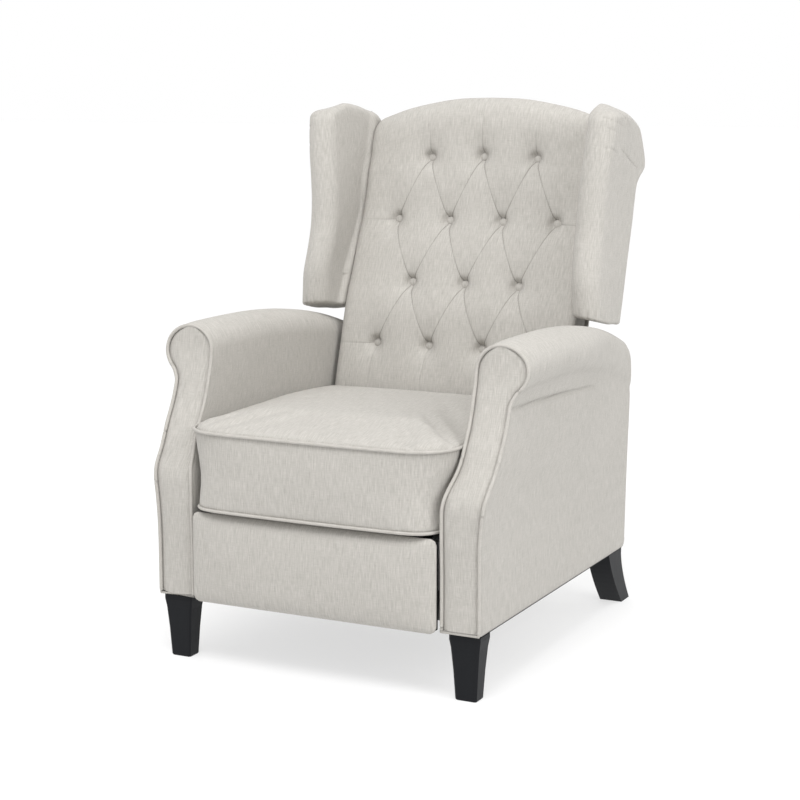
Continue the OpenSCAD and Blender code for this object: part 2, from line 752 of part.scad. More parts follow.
// The back is narrower where the arms' lower parts stand closer together
function waist(z) = z < back_step_z ? back_low_half / back_half : 1;

// The outside panel stops short of the wings on each side
panel_inset = 3;
module outside_back() {
  v = stile_v + stile_t;
  w = back_half - panel_inset;
  color(linen) difference() {
    back_bar(-w, w, v, v + outside_t, back_low - 4, back_high);
    for (left = [true, false]) both(left)
      translate([back_low_half, 0, 0]) cube([2 * arm_step, arm_rear, back_step_z]);
  }
}

// Tufting: rows of buttons in a diamond pattern, with a pleat along each diamond's side
button_z = [516, 638, 761, 890];
function row_x(i) = i % 2 == 0
  ? [for (k = [-1.5 : 1 : 1.5]) k * button_pitch] : [for (k = [-1 : 1]) k * button_pitch];
buttons = [for (i = [0 : len(button_z) - 1]) for (x = row_x(i)) [x, button_z[i]]];
function off_segment(p, a, b) =
  let (d = b - a, t = max(0, min(1, ((p - a) * d) / (d * d)))) norm(p - a - t * d);
pleats = [for (a = buttons) for (b = buttons)
  if (b[1] > a[1] && b[1] - a[1] < 140 && abs(abs(b[0] - a[0]) - button_pitch / 2) < 1) [a, b]];
function tuft(x, z) =
  let (
    p = [x, z],
    near = min([for (b = buttons) norm(p - b)]),
    fold_d = min([for (s = pleats) off_segment(p, s[0], s[1])])
  ) tuft_depth * max(bell(near, 20), 0.5 * bell(fold_d, 11));

function back_face(z) = curve([[290, 116], [424, 148], [522, 176], [597, 199], [657, 226], [719, 253],
  [781, 281], [850, 301], [900, 312], [935, 318]], z);
function rear_face(z) = let (p = back_at(stile_v, 0)) p[0] + tan(back_lean) * (z - p[1]);
function crest_lift(x) = curve([[0, 0], [65, -2], [112, -8], [180, -22], [238, -41], [250, -45]], abs(x));
// The crest's section, from the front over the top to its rear underside
crest = [[322, 962], [331, 988], [348, 1005], [369, 1010], [391, 1001], [409, 982], [419, 960],
  [415, 938], [400, 925], [381, 917]];
function lifted(z, x) = z + (crest_lift(x) + total_h - 1010) * max(0, min(1, (z - 860) / 100));

// Rows and columns of the surface, so that every button sits on a crossing
step_row = 4;
face_rows = concat(
  [for (i = [0 : step_row - 1]) mix(300, back_step_z, i / step_row)],
  [for (i = [0 : 3]) mix(back_step_z, button_z[0], i / 4)],
  [for (r = [0 : 2]) for (i = [0 : 4]) mix(button_z[r], button_z[r + 1], i / 5)],
  [for (i = [0 : 2]) mix(button_z[3], 937.5, i / 2)]
);
column = button_pitch / 6;
face_columns = concat(
  [for (t = [1, 0.5, 0]) -mix(back_low_half, back_half, t)],
  [for (k = [-11 : 11]) k * column],
  [for (t = [0, 0.5, 1]) mix(back_low_half, back_half, t)]
);

// Hand stitching leaves the rows a little lower in the middle and not quite level,
// and the columns not quite straight
row_sag = 0.3;
row_lean = 0.1;
column_sway = 0.3;
sway_turn = 2.12;
function stitched(p) =
  let (t = p[0] / back_half)
    p + [column_sway * sin(sway_turn * p[2]), 0, row_sag * t * t + row_lean * t];
function back_section(x) =
  let (
    edge = min(1, (back_half - abs(x)) / 18),
    soft = 10 * (1 - sqrt(max(0, edge * (2 - edge))))
  ) concat(
    [for (z = face_rows) [x * waist(z), back_face(z) + tuft(x, z) + soft, lifted(z, x)]],
    [for (p = crest) [x, p[0], lifted(p[1], x)]],
    [[x, rear_face(lifted(900, x)) + 10, lifted(908, x)],
     [x, rear_face(lifted(890, x)), lifted(890, x)]],
    [for (z = [700, 500, back_step_z, face_rows[step_row - 1], face_rows[0] + 4])
      [x * waist(z), rear_face(z), z]]
  );

module inside_back() {
  color(linen)
    skin_x([for (x = face_columns) [for (p = back_section(x)) stitched(p)]], step_row);
}

// Skin over rings across X. Each end has a flat face above the step, one on it and one below.
module skin_x(rings, step) {
  n = len(rings[0]);
  m = len(rings);
  points = [for (r = rings) each r];
  sides = [for (i = [0 : m - 2]) for (j = [0 : n - 1])
    let (a = i * n + j, b = i * n + (j + 1) % n) each [[a, b, b + n], [a, b + n, a + n]]];
  end = [
    [for (j = [step : n - 3]) j],
    [step - 1, step, n - 3, n - 2],
    [for (j = [0 : step - 1]) j, n - 2, n - 1]
  ];
  first = [for (face = end) [for (j = [len(face) - 1 : -1 : 0]) face[j]]];
  last = [for (face = end) [for (j = face) (m - 1) * n + j]];
  polyhedron(points, concat(sides, first, last), convexity = 10);
}

module back_buttons() {
  color(linen) for (b = buttons)
    translate([b[0], back_face(b[1]) + tuft_depth, lifted(b[1], b[0])])
    rotate([90 - back_lean, 0, 0]) {
      translate([0, 0, -2]) cylinder(r = button_r, h = 4, $fn = 24);
      translate([0, 0, 2]) cylinder(r1 = button_r, r2 = button_r * 0.6, h = 2.5, $fn = 24);
    }
}

// Wings: each level runs from its rounded front to its rear edge
function nose(z) = [
  inner_half - 244.5 + curve([[570, 294], [650, 291], [700, 288], [750, 287], [800, 288],
    [850, 291], [900, 296], [950, 300], [990, 302]], z),
  curve([[570, 160], [610, 160], [650, 161], [700, 172], [750, 185], [800, 192], [850, 195],
    [900, 199], [950, 206], [990, 214]], z)];
function wing_tail(z) = curve([[560, 274], [622, 295], [699, 318], [775, 342], [831, 357], [858, 366],
  [878, 382], [897, 402], [914, 413], [932, 410], [955, 396], [985, 372]], z);
function wing_seam(z) = curve([[570, 182], [596, 190], [659, 221], [718, 257], [778, 286], [840, 298],
  [901, 318], [985, 336]], z);
function wing_floor(y, x) = curve([[120, 600], [163, 592], [205, 584], [240, 580], [285, 573],
  [420, 560]], y) + 0.15 * (inner_half + 40 - x);
function wing_roof(y, x) = curve([[160, 962], [190, 980], [248, 983], [312, 975], [369, 957], [408, 935],
  [425, 905]], y)
  + total_h - 1010 + 16 * max(0, min(1, (side_x - 1.5 - x) / 40)) * max(0, min(1, (y - 190) / 60));
wing_in = back_half + 0.5;
function wing_loop(z) =
  let (
    c = nose(z), r = wing_r, y1 = wing_seam(z), y2 = wing_tail(z),
    outer = [for (a = [8, 34, 62, 88]) c + r * [sin(a), -cos(a)]],
    inner = [for (a = [8, 34, 62, 88]) c + r * [-sin(a), -cos(a)]]
  ) concat(
    outer,
    [[c[0] + r + 2, mix(c[1], y2, 0.25)], [mix(c[0] + r, side_x + 2.5, 0.5), mix(c[1], y2, 0.5)],
     [side_x + 1.5, mix(c[1], y2, 0.75)], [side_x - 0.5, y2 - 12], [side_x - 13.5, y2]],
    [[wing_in + 8, y2 - 2], [wing_in, y2 - 12], [wing_in, mix(y1, y2, 0.5)], [wing_in, y1 + 12],
     [wing_in + 9, y1 + (z < 640 ? 4 : -2)]],
    [inner[3], inner[2], inner[1], inner[0]]
  );
function wing_ring(t, d) =
  [for (p = inset(wing_loop(mix(575, 985, t)), d))
    [p[0], p[1], mix(wing_floor(p[1], p[0]), wing_roof(p[1], p[0]), t)]];

module wing(left) {
  color(linen) both(left) skin(concat(
    [wing_ring(1, 16), wing_ring(0.985, 6), wing_ring(0.95, 1)],
    [for (t = [0.9 : -0.067 : 0.03]) wing_ring(t, 0)],
    [wing_ring(0.01, 3), wing_ring(0, 11)]
  ));
}

// Steel bracket on each stile, hinged on the seat plate
module back_bracket(left) {
  x = plate_x + link_t + side_gap;
  a = back_at(stile_v + stile_t / 2, back_low + 4);
  b = back_at(stile_v + stile_t / 2, back_low + 110);
  color(steel) both(left) difference() {
    union() {
      strap(x, pin_back, a, 11, 9);
      strap(x, a, b, 9, 8);
    }
    eye(x, pin_back);
  }
}

arm(true);  // arm_left
arm(false);  // arm_right
arm_piping(true);  // arm_piping_left
arm_piping(false);  // arm_piping_right
arm_rail(true);  // arm_rail_left
arm_rail(false);  // arm_rail_right
front_leg(true);  // front_leg_left
front_leg(false);  // front_leg_right
rear_leg(true);  // rear_leg_left
rear_leg(false);  // rear_leg_right
leg_bolts();
rear_apron();
base_plate(true);  // base_plate_left
base_plate(false);  // base_plate_right
base_cross_tubes();
front_swing(true);  // front_swing_left
front_swing(false);  // front_swing_right
rear_swing(true);  // rear_swing_left
rear_swing(false);  // rear_swing_right
seat_plate(true);  // seat_plate_left
seat_plate(false);  // seat_plate_right
seat_cross_tube();
seat_rail(true);  // seat_rail_left
seat_rail(false);  // seat_rail_right
seat_rail_front();
seat_rail_rear();
seat_springs();
spring_clips();
seat_cushion();
seat_piping_top();
seat_piping_bottom();
drive_link(true);  // drive_link_left
drive_link(false);  // drive_link_right
hanger_link(true);  // hanger_link_left
hanger_link(false);  // hanger_link_right
slider_link(true);  // slider_link_left
slider_link(false);  // slider_link_right
outer_hanger(true);  // outer_hanger_left
outer_hanger(false);  // outer_hanger_right
reach_link(true);  // reach_link_left
reach_link(false);  // reach_link_right
tilt_link(true);  // tilt_link_left
tilt_link(false);  // tilt_link_right
footrest_board();
footrest_pad();
footrest_bracket(true);  // footrest_bracket_left
footrest_bracket(false);  // footrest_bracket_right
back_stile(true);  // back_stile_left
back_stile(false);  // back_stile_right
back_top_rail();
back_lower_rail();
inside_back();
back_buttons();
outside_back();
wing(true);  // wing_left
wing(false);  // wing_right
back_bracket(true);  // back_bracket_left
back_bracket(false);  // back_bracket_right
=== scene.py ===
# %% [markdown]
# # A wing recliner, dressed
#
# The chair's construction comes packed as a frame of solids. This lesson dresses
# it: each upholstered solid gets a cloth skin with its seams, pleats and buttons,
# and every wooden and steel piece gets a finish. Run the cells in order.

# %% Load the frame
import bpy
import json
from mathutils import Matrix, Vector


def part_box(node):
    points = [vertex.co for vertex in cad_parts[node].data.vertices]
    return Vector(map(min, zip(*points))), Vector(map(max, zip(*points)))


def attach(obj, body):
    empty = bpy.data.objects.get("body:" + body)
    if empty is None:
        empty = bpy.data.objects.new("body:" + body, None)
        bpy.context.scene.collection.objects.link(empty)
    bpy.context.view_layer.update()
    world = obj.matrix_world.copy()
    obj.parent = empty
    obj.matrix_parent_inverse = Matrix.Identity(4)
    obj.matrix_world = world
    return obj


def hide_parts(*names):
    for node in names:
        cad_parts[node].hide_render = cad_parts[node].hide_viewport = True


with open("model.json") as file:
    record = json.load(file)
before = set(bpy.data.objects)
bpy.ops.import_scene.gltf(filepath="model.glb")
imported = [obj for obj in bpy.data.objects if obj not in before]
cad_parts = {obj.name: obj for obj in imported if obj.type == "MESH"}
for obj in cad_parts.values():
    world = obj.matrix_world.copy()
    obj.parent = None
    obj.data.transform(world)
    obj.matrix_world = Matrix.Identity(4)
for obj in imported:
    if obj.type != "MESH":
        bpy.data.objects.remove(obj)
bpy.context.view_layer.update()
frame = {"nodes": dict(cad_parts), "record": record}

# %% Tools and units
import json
from math import pi, radians
import bmesh
import bpy
import numpy as np
from mathutils import Vector

MM = 0.001
WELD = 0.00002
SIDES = (("left", 1), ("right", -1))
print("full build")

# %% [markdown]
# ## The portrait's camera
#
# A product photographer stands back and uses a long lens, so that the near arm
# doesn't swell. The camera stands 3.4 m away, as high as the chair's crest and
# well round to the sitter's left. It looks down at the middle of the chair, and a
# small shift centres the picture.

# %% The camera
def aim(obj, target):
    obj.rotation_euler = (Vector(target) - obj.location).to_track_quat("-Z", "Y").to_euler()


lens = bpy.data.cameras.new("portrait")
lens.lens = 82.1
lens.sensor_width = 36.0
lens.shift_y = -0.0243
camera = bpy.data.objects.new("portrait", lens)
camera.location = (1.5097, -3.0747, 1.0082)
aim(camera, (0, -0.05, 0.484))
bpy.context.scene.collection.objects.link(camera)
bpy.context.scene.camera = camera
print("camera", tuple(round(c, 3) for c in camera.location))

# %% [markdown]
# ## Studio light
#
# The reference is lit by soft boxes in a white room: hardly any dark side, a soft
# shadow under the chair, and dimples that show only because less of the room
# reaches into them. A white world does most of that. One large lamp, high up in
# front, gives the forms a direction, and a weaker one lifts the side that is near
# the camera. The floor glows a little, so that the soft shadow on it stays pale.

# %% Light and floor
scene = bpy.context.scene
scene.view_settings.view_transform = "Standard"
world = bpy.data.worlds.new("white_room")
world.use_nodes = True
backdrop = world.node_tree.nodes["Background"]
backdrop.inputs["Color"].default_value = (1.0, 1.0, 1.0, 1)
backdrop.inputs["Strength"].default_value = 1.0
scene.world = world


def soft_box(name, place, size, power):
    lamp = bpy.data.lights.new(name, "AREA")
    lamp.shape = "DISK"
    lamp.size = size
    lamp.energy = power
    obj = bpy.data.objects.new(name, lamp)
    obj.location = place
    aim(obj, (0, 0, 0.5))
    scene.collection.objects.link(obj)


soft_box("key", (0.5, -2.4, 4.4), 2.0, 120)
soft_box("side_fill", (3.6, -1.2, 2.4), 2.0, 52)

bm = bmesh.new()
bmesh.ops.create_grid(bm, x_segments=2, y_segments=2, size=60.0)
floor_mesh = bpy.data.meshes.new("floor")
bm.to_mesh(floor_mesh)
bm.free()
floor = bpy.data.objects.new("floor", floor_mesh)
scene.collection.objects.link(floor)

# %% [markdown]
# ## Shader sums written as Python
#
# Material nodes are easier to read as sums. This class wraps a socket, so that
# `0.3 + 0.7 * mask` adds the Math nodes by itself. One method, `node`, makes any
# other node from its type, its settings and what goes into its sockets.

# %% A socket that can be used in sums
class Wire:
    def __init__(self, tree, socket=None):
        self.tree, self.socket = tree, socket

    def node(self, kind, sockets, out=0, **settings):
        made = self.tree.nodes.new(kind)
        for name, value in settings.items():
            setattr(made, name, value)
        for key, value in sockets.items():
            if isinstance(value, Wire):
                self.tree.links.new(value.socket, made.inputs[key])
            else:
                made.inputs[key].default_value = value
        return Wire(self.tree, made.outputs[out])

    def maths(self, operation, a, b, clamp=False):
        return self.node("ShaderNodeMath", {0: a, 1: b}, operation=operation, use_clamp=clamp)

    def __add__(self, other):
        return self.maths("ADD", self, other)

    def __sub__(self, other):
        return self.maths("SUBTRACT", self, other)

    def __mul__(self, other):
        return self.maths("MULTIPLY", self, other)

    __radd__ = __add__
    __rmul__ = __mul__

    def clamped(self):
        return self.maths("ADD", self, 0.0, clamp=True)

    def noise(self, scale, detail=2.0, rough=0.5, distortion=0.0):
        mapped = self.node("ShaderNodeMapping", {"Vector": self, "Scale": scale})
        sockets = {"Vector": mapped, "Scale": 1.0, "Detail": detail, "Roughness": rough,
                   "Distortion": distortion}
        return self.node("ShaderNodeTexNoise", sockets)

    def wave(self, direction, scale, distortion):
        sockets = {"Vector": self, "Scale": scale, "Distortion": distortion}
        return self.node("ShaderNodeTexWave", sockets, out=1, wave_type="BANDS",
                         bands_direction=direction, wave_profile="SIN")

    def mix(self, a, b):
        """Colour a where this value is 0, colour b where it is 1."""
        return self.node("ShaderNodeMix", {0: self, 6: a, 7: b}, out=2, data_type="RGBA")


def new_material(name):
    material = bpy.data.materials.new(name)
    material.use_nodes = True
    tree = material.node_tree
    return material, Wire(tree), tree.nodes["Principled BSDF"]


def plug(wire, shader, socket):
    wire.tree.links.new(wire.socket, shader.inputs[socket])


def bump(wires, height, strength, distance):
    sockets = {"Strength": strength, "Distance": distance, "Height": height}
    return wires.node("ShaderNodeBump", sockets)


print("shader tools ready")

# %% [markdown]
# ## The linen-look cloth
#
# The real cover is a plain weave in a pale, slightly green beige. Its threads vary
# in thickness, so fine slubs run up the cloth, and single darker threads show
# between light ones. A picture of cloth would blur close up, so the weave is made
# from noise that is stretched hard along the warp or the weft. It reads the
# piece's own UV map, which is laid out in metres, so every piece has the same
# thread size and the slubs turn with the cloth. Where a point attribute says that
# the cloth is folded, shade is painted into the colour, as the shadow inside a
# pleat.

# %% The cloth and its piping
def colour(r, g, b):
    return (r, g, b, 1)


LIGHT_THREAD = colour(0.515, 0.495, 0.462)
# The colour of the painted shade inside folds and pleats
FOLD_SHADE = colour(0.105, 0.095, 0.08)


def linen(name, light, dark, slub=1.0):
    material, wires, shader = new_material(name)
    cloth = wires.node("ShaderNodeUVMap", {}, uv_map="cloth")
    warp = cloth.noise((1150, 60, 1), detail=2)
    weft = cloth.noise((70, 1150, 1), detail=2)
    streak = cloth.noise((560, 34, 1), detail=3, rough=0.6)
    cross_streak = cloth.noise((12, 420, 1), detail=2)
    patch = cloth.noise((6, 5, 1), detail=2)
    thread = (warp * 0.36 + weft * 0.22 + streak * (0.42 * slub) + cross_streak * 0.07
              + patch * 0.06)
    middle, contrast = 0.355 + 0.21 * slub, 3.4
    share = ((thread - middle) * contrast + 0.44).clamped()
    shade = share.mix(light, dark)
    # Painted shade: where a point attribute marks a fold, the colour darkens towards FOLD_SHADE
    seam = wires.node("ShaderNodeAttribute", {}, out=2, attribute_name="seam")
    seam_shade = (seam * seam * 0.85).clamped().mix(shade, FOLD_SHADE)
    plug(seam_shade, shader, "Base Color")
    ridges = cloth.wave("X", 900, 1.2) * 0.5 + cloth.wave("Y", 900, 1.2) * 0.5
    height = ridges * 0.5 + warp * 0.5 + weft * 0.4 + streak * 0.5
    plug(bump(wires, height, 0.5, 0.0006), shader, "Normal")
    plug(0.86 + 0.1 * warp, shader, "Roughness")
    shader.inputs["Sheen Weight"].default_value = 0.12
    shader.inputs["Sheen Roughness"].default_value = 0.5
    shader.inputs["Specular IOR Level"].default_value = 0.25
    return material


cloth_cover = linen("linen_cover", LIGHT_THREAD, colour(0.335, 0.32, 0.292))
cloth_welt = linen("linen_welt", LIGHT_THREAD, colour(0.35, 0.333, 0.303), slub=0.5)
print("cloth:", cloth_cover.name, cloth_welt.name)

# %% [markdown]
# ## Wood and steel
#
# The legs are stained nearly black under a satin lacquer, so the grain only just
# shows. The hidden frame is sawn timber. The links are zinc-plated strip, brushed
# along their length, and the darker ones are powder coated, which leaves a fine
# orange-peel skin. All of these read Object coordinates: a solid block carries its
# grain right through. Black dust cloth is stapled over the rails and the footrest's
# board, so no pale timber shows in the gaps; its black also stands in for the
# shade in those gaps.

# %% Finishes for wood and steel
def wood(name, light, dark, rough, coat, grain=(26, 26, 3)):
    material, wires, shader = new_material(name)
    place = wires.node("ShaderNodeTexCoord", {}, out=3)
    fibre = place.noise(tuple(g * 14 for g in grain), detail=4, rough=0.6)
    ring = place.noise(grain, detail=3, rough=0.55, distortion=0.6)
    share = (fibre * 0.5 + ring * 0.9 - 0.25).clamped()
    plug(share.mix(light, dark), shader, "Base Color")
    plug(rough + 0.12 * fibre, shader, "Roughness")
    plug(bump(wires, fibre, 0.25, 0.0003), shader, "Normal")
    shader.inputs["Coat Weight"].default_value = coat
    shader.inputs["Coat Roughness"].default_value = 0.22
    return material


def metal(name, base, rough, metallic, scratch=(40, 40, 900), skin=0.15):
    material, wires, shader = new_material(name)
    place = wires.node("ShaderNodeTexCoord", {}, out=3)
    brushed = place.noise(scratch, detail=2)
    cloudy = place.noise((18, 18, 18), detail=3)
    dark = colour(*(c * 0.8 for c in base))
    plug((cloudy * 0.8 + brushed * 0.2).clamped().mix(colour(*base), dark), shader, "Base Color")
    plug(rough + 0.16 * brushed + 0.08 * cloudy, shader, "Roughness")
    plug(bump(wires, brushed, skin, 0.0002), shader, "Normal")
    shader.inputs["Metallic"].default_value = metallic
    return material


FINE_GRAIN = (900, 900, 900)
ebony = wood("black_satin_wood", colour(0.008, 0.009, 0.011), colour(0.005, 0.0055, 0.007),
             0.4, 0.0)
ebony.node_tree.nodes["Principled BSDF"].inputs["Specular IOR Level"].default_value = 0.16
pine = wood("sawn_timber", colour(0.62, 0.45, 0.26), colour(0.42, 0.27, 0.14), 0.62, 0.0,
            (9, 30, 30))
zinc = metal("zinc_steel", (0.62, 0.63, 0.64), 0.28, 1.0)
black_coat = metal("black_powder_coat", (0.022, 0.022, 0.024), 0.42, 0.0, FINE_GRAIN, 0.3)

floor_paint, wires, shader = new_material("pale_floor")
place = wires.node("ShaderNodeTexCoord", {}, out=3)
paint = place.noise((3, 3, 3)).mix(colour(0.36, 0.36, 0.36), colour(0.35, 0.35, 0.35))
plug(paint, shader, "Base Color")
shader.inputs["Emission Color"].default_value = colour(1.0, 1.0, 1.0)
shader.inputs["Emission Strength"].default_value = 0.62
shader.inputs["Roughness"].default_value = 0.8
shader.inputs["Specular IOR Level"].default_value = 0.1
floor_mesh.materials.append(floor_paint)

# Black dust cloth; its black also stands in for painted shade in the gaps
dust_cloth_and_gap_shade = metal("black_dust_cloth_and_gap_shade", (0.02, 0.02, 0.02), 0.8, 0.0, FINE_GRAIN, 0.3)
FINISH = {"dark_wood": ebony, "frame_wood": pine, "zinc_steel": zinc, "black_steel": black_coat,
          "linen": cloth_cover, "welt": cloth_welt}
part_slot = {part["node"]: part["material_slot"] for part in frame["record"]["subparts"]}
for name, obj in frame["nodes"].items():
    hidden_wood = name.startswith(("arm_rail", "seat_rail", "footrest_board"))
    finish = dust_cloth_and_gap_shade if hidden_wood else FINISH[part_slot[name]]
    for holder in obj.material_slots:
        holder.material = finish
print("finishes:", sorted(m.name for m in set(FINISH.values())))

# %% [markdown]
# ## How a cloth skin is made
#
# Upholstery is sheet cloth pulled over a form, so each cover starts as a flat grid.
# `create_grid` gives the sheet, and every crossing is then laid where the form
# wants it, ring by ring. The last ring at each end closes on its own middle line,
# and merging the doubles sews it shut. The arc lengths along the grid, averaged
# over the sheet so that the threads run straight, become the UV map in metres.

# %% Curves and rings
def curve(table, x):
    """Smooth curve through (position, value) pairs."""
    at, value = np.array(table, float).T
    n = len(at)
    before, after = np.maximum(np.arange(n) - 1, 0), np.minimum(np.arange(n) + 1, n - 1)
    slope = (value[after] - value[before]) / (at[after] - at[before])
    x = np.asarray(x, float)
    i = np.clip(np.searchsorted(at, x, side="right") - 1, 0, n - 2)
    h = at[i + 1] - at[i]
    s = np.clip((x - at[i]) / h, 0, 1)
    return ((2 * s**3 - 3 * s**2 + 1) * value[i] + (s**3 - 2 * s**2 + s) * slope[i] * h
            + (3 * s**2 - 2 * s**3) * value[i + 1] + (s**3 - s**2) * slope[i + 1] * h)


def mix(a, b, t):
    return a + (b - a) * t


def even(points, count, closed=True):
    """The same outline with its points spread evenly along it."""
    loop = np.vstack([points, points[:1]]) if closed else np.asarray(points, float)
    run = np.concatenate([[0], np.cumsum(np.linalg.norm(np.diff(loop, axis=0), axis=1))])
    stops = np.linspace(0, run[-1], count + 1)[:-1] if closed else np.linspace(0, run[-1], count)
    return np.stack([np.interp(stops, run, loop[:, k]) for k in range(loop.shape[1])], axis=1)


def relax(loop, times, closed=True):
    """Rounds an outline's corners a little, as cloth does."""
    loop = loop.copy()
    for _ in range(times):
        middle = (np.roll(loop, 1, axis=0) + np.roll(loop, -1, axis=0)) / 2
        moved = mix(loop, middle, 0.5)
        if not closed:
            moved[0], moved[-1] = loop[0], loop[-1]
        loop = moved
    return loop


def inset(loop, d):
    """Moves a closed outline inwards by d. The inside is on its left."""
    way = np.roll(loop, -1, axis=0) - np.roll(loop, 1, axis=0)
    way /= np.linalg.norm(way, axis=1, keepdims=True) + 1e-9
    return loop + d * np.stack([-way[:, 1], way[:, 0]], axis=1)


def middle_line(loop):
    """Each point's place on the line halfway to the point across the loop."""
    return (loop + loop[::-1]) / 2


def ease(t):
    t = np.clip(t, 0, 1)
    return t * t * (3 - 2 * t)


def bent(v, power):
    """A power that keeps the sign: under 1 it squares a circle's arc off."""
    return np.sign(v) * np.abs(v) ** power


def halves(outer, inner, count):
    """One loop up the outer side and down the inner one, with no point on the middle line."""
    both = []
    for side in (outer, inner):
        fine = even(np.array(side, float), 2 * count + 1, closed=False)
        both.append(fine[1::2])
    return np.vstack([both[0], both[1][::-1]])


print("curve check:", float(curve([(0, 0), (1, 2), (2, 2)], 1.0)))

# %% The skin itself
def lay_cloth(bm, rings, flat_ends=(0, 0, "xz"), wrap=True, turned=False):
    """Lays a grid of cloth over rings of points in millimetres. `flat_ends` says how
    many rows at each end are mapped flat, along which axes. `turned` lays the warp
    from ring to ring."""
    rings = np.asarray(rings, float) * MM
    if wrap:
        rings = np.concatenate([rings, rings[:, :1]], axis=1)
    rows, cols = rings.shape[:2]
    along, up = np.zeros((rows, cols)), np.zeros((rows, cols))
    along[:, 1:] = np.cumsum(np.linalg.norm(np.diff(rings, axis=1), axis=2), axis=1)
    along -= along[:, cols // 2][:, None]
    up[1:] = np.cumsum(np.linalg.norm(np.diff(rings, axis=0), axis=2), axis=0)
    along, up = along.mean(axis=0), up.mean(axis=1)
    sheet = bmesh.ops.create_grid(bm, x_segments=cols - 1, y_segments=rows - 1, size=0.5)["verts"]
    uv = bm.loops.layers.uv.get("cloth") or bm.loops.layers.uv.new("cloth")
    first, second = ("xyz".index(a) for a in flat_ends[2])
    place = {}
    for v in sheet:
        i, j = round((v.co.x + 0.5) * (cols - 1)), round((v.co.y + 0.5) * (rows - 1))
        v.co = rings[j, i]
        place[v] = (i, j)
    for face in {f for v in sheet for f in v.link_faces}:
        row = min(place[l.vert][1] for l in face.loops)
        flat = row < flat_ends[0] or row >= rows - 1 - flat_ends[1]
        for loop in face.loops:
            i, j = place[loop.vert]
            co = loop.vert.co
            wrapped = (up[j], along[i]) if turned else (along[i], up[j])
            loop[uv].uv = (co[first], co[second]) if flat else wrapped
    return sheet


def seam_layer(mesh):
    """Gives a mesh the attribute that holds painted fold shade, unless it has it."""
    if "seam" not in mesh.attributes:
        mesh.attributes.new("seam", "FLOAT", "POINT")


def make_piece(name, bm, finish=cloth_cover):
    """Sews the skin shut, turns it outwards and makes it an object."""
    bmesh.ops.remove_doubles(bm, verts=bm.verts, dist=WELD)
    bmesh.ops.dissolve_degenerate(bm, edges=bm.edges, dist=WELD / 4)
    bmesh.ops.recalc_face_normals(bm, faces=bm.faces)
    for face in bm.faces:
        face.smooth = True
    mesh = bpy.data.meshes.new(name)
    bm.to_mesh(mesh)
    bm.free()
    obj = bpy.data.objects.new(name, mesh)
    scene.collection.objects.link(obj)
    mesh.materials.append(finish)
    seam_layer(mesh)
    return obj


def dress(obj, body, *nodes, slot="linen", pad=None):
    """Hands a finished piece to the frame."""
    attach(obj, body)
    if nodes:
        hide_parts(*nodes)
    print(f"{obj.name}: {len(obj.data.polygons)} faces on {body}")
    return obj


def coords(mesh):
    co = np.empty(len(mesh.vertices) * 3)
    mesh.vertices.foreach_get("co", co)
    return co.reshape(-1, 3)


def move(obj, co):
    obj.data.vertices.foreach_set("co", np.ascontiguousarray(co).ravel())
    obj.data.update()


def normals(mesh):
    n = np.empty(len(mesh.vertices) * 3)
    mesh.vertex_normals.foreach_get("vector", n)
    return n.reshape(-1, 3)


def mirrored(lines, side):
    return [[(side * x, y, z) for x, y, z in line] for line in lines]


def crease(obj, lines, depth, width, dark, lip=0.35):
    """Presses folded creases into a skin along polylines given in millimetres, and
    paints shade along them, as strong as `dark`. The cloth bulges beside a crease by
    `lip` of its depth."""
    co, n = coords(obj.data), normals(obj.data)
    seam = np.empty(len(co))
    obj.data.attributes["seam"].data.foreach_get("value", seam)
    push = np.zeros(len(co))
    for line in lines:
        line = np.asarray(line, float) * MM
        for k, (a, b) in enumerate(zip(line[:-1], line[1:])):
            ab = b - a
            t = np.clip(((co - a) @ ab) / (ab @ ab), 0, 1)
            d = np.linalg.norm(co - a - t[:, None] * ab, axis=1) / MM
            whole = (k + t) / (len(line) - 1)
            fade = np.sin(np.clip(whole, 0.02, 0.98) * pi) ** 0.5
            groove = np.exp(-(d / width) ** 2) - lip * np.exp(-(d / (3 * width)) ** 2)
            push = np.maximum(push, fade * groove)
            # Painted shade along the crease, darkest on its line
            seam = np.maximum(seam, fade * dark * np.exp(-(d / (0.5 * width)) ** 2))
    move(obj, co - n * (push * depth * MM)[:, None])
    obj.data.attributes["seam"].data.foreach_set("value", seam)


print("skin tools ready")

# %% [markdown]
# ## Piping
#
# Piping is a cord wrapped in a bias strip of the same cloth and sewn into a seam.
# It is laid like the covers: a small ring of points at each place along the seam,
# so that it carries the cloth's UV map along its length.

# %% A piping cord
def piping(name, path, radius, sides=10):
    path = np.asarray(path, float)
    n = len(path)
    way = np.roll(path, -1, axis=0) - np.roll(path, 1, axis=0)
    way /= np.linalg.norm(way, axis=1, keepdims=True)
    side = np.cross(way, np.roll(path, -3, axis=0) - 2 * path + np.roll(path, 3, axis=0) + 1e-6)
    for k in range(n):
        if np.linalg.norm(side[k]) < 1e-3 or (k and side[k] @ side[k - 1] < 0):
            side[k] = side[k - 1] if k else np.cross(way[k], (0.3, 0.5, 0.8))
        side[k] -= way[k] * (side[k] @ way[k])
        side[k] /= np.linalg.norm(side[k])
    other = np.cross(way, side)
    turn = np.linspace(0, 2 * pi, sides, endpoint=False)
    rings = (path[:, None] + radius * (np.cos(turn)[None, :, None] * side[:, None]
                                       + np.sin(turn)[None, :, None] * other[:, None]))
    rings = np.concatenate([rings, rings[:1]])
    bm = bmesh.new()
    lay_cloth(bm, rings)
    return make_piece(name, bm, cloth_welt)


print("piping ready")

# %% [markdown]
# ## The arms
#
# A scroll arm is a flat side panel that swells into a roll at the top. The cloth
# runs over it from the inside to the outside in one piece, and a separate shaped
# panel, edged with piping, closes the front. The section changes along the arm:
# the roll stands proud at the front and dies away towards the back, while the
# whole arm falls. So the cover is a loft of sections, each drawn from the same few
# measures: the roll's centre, its radius and how far it stands out.

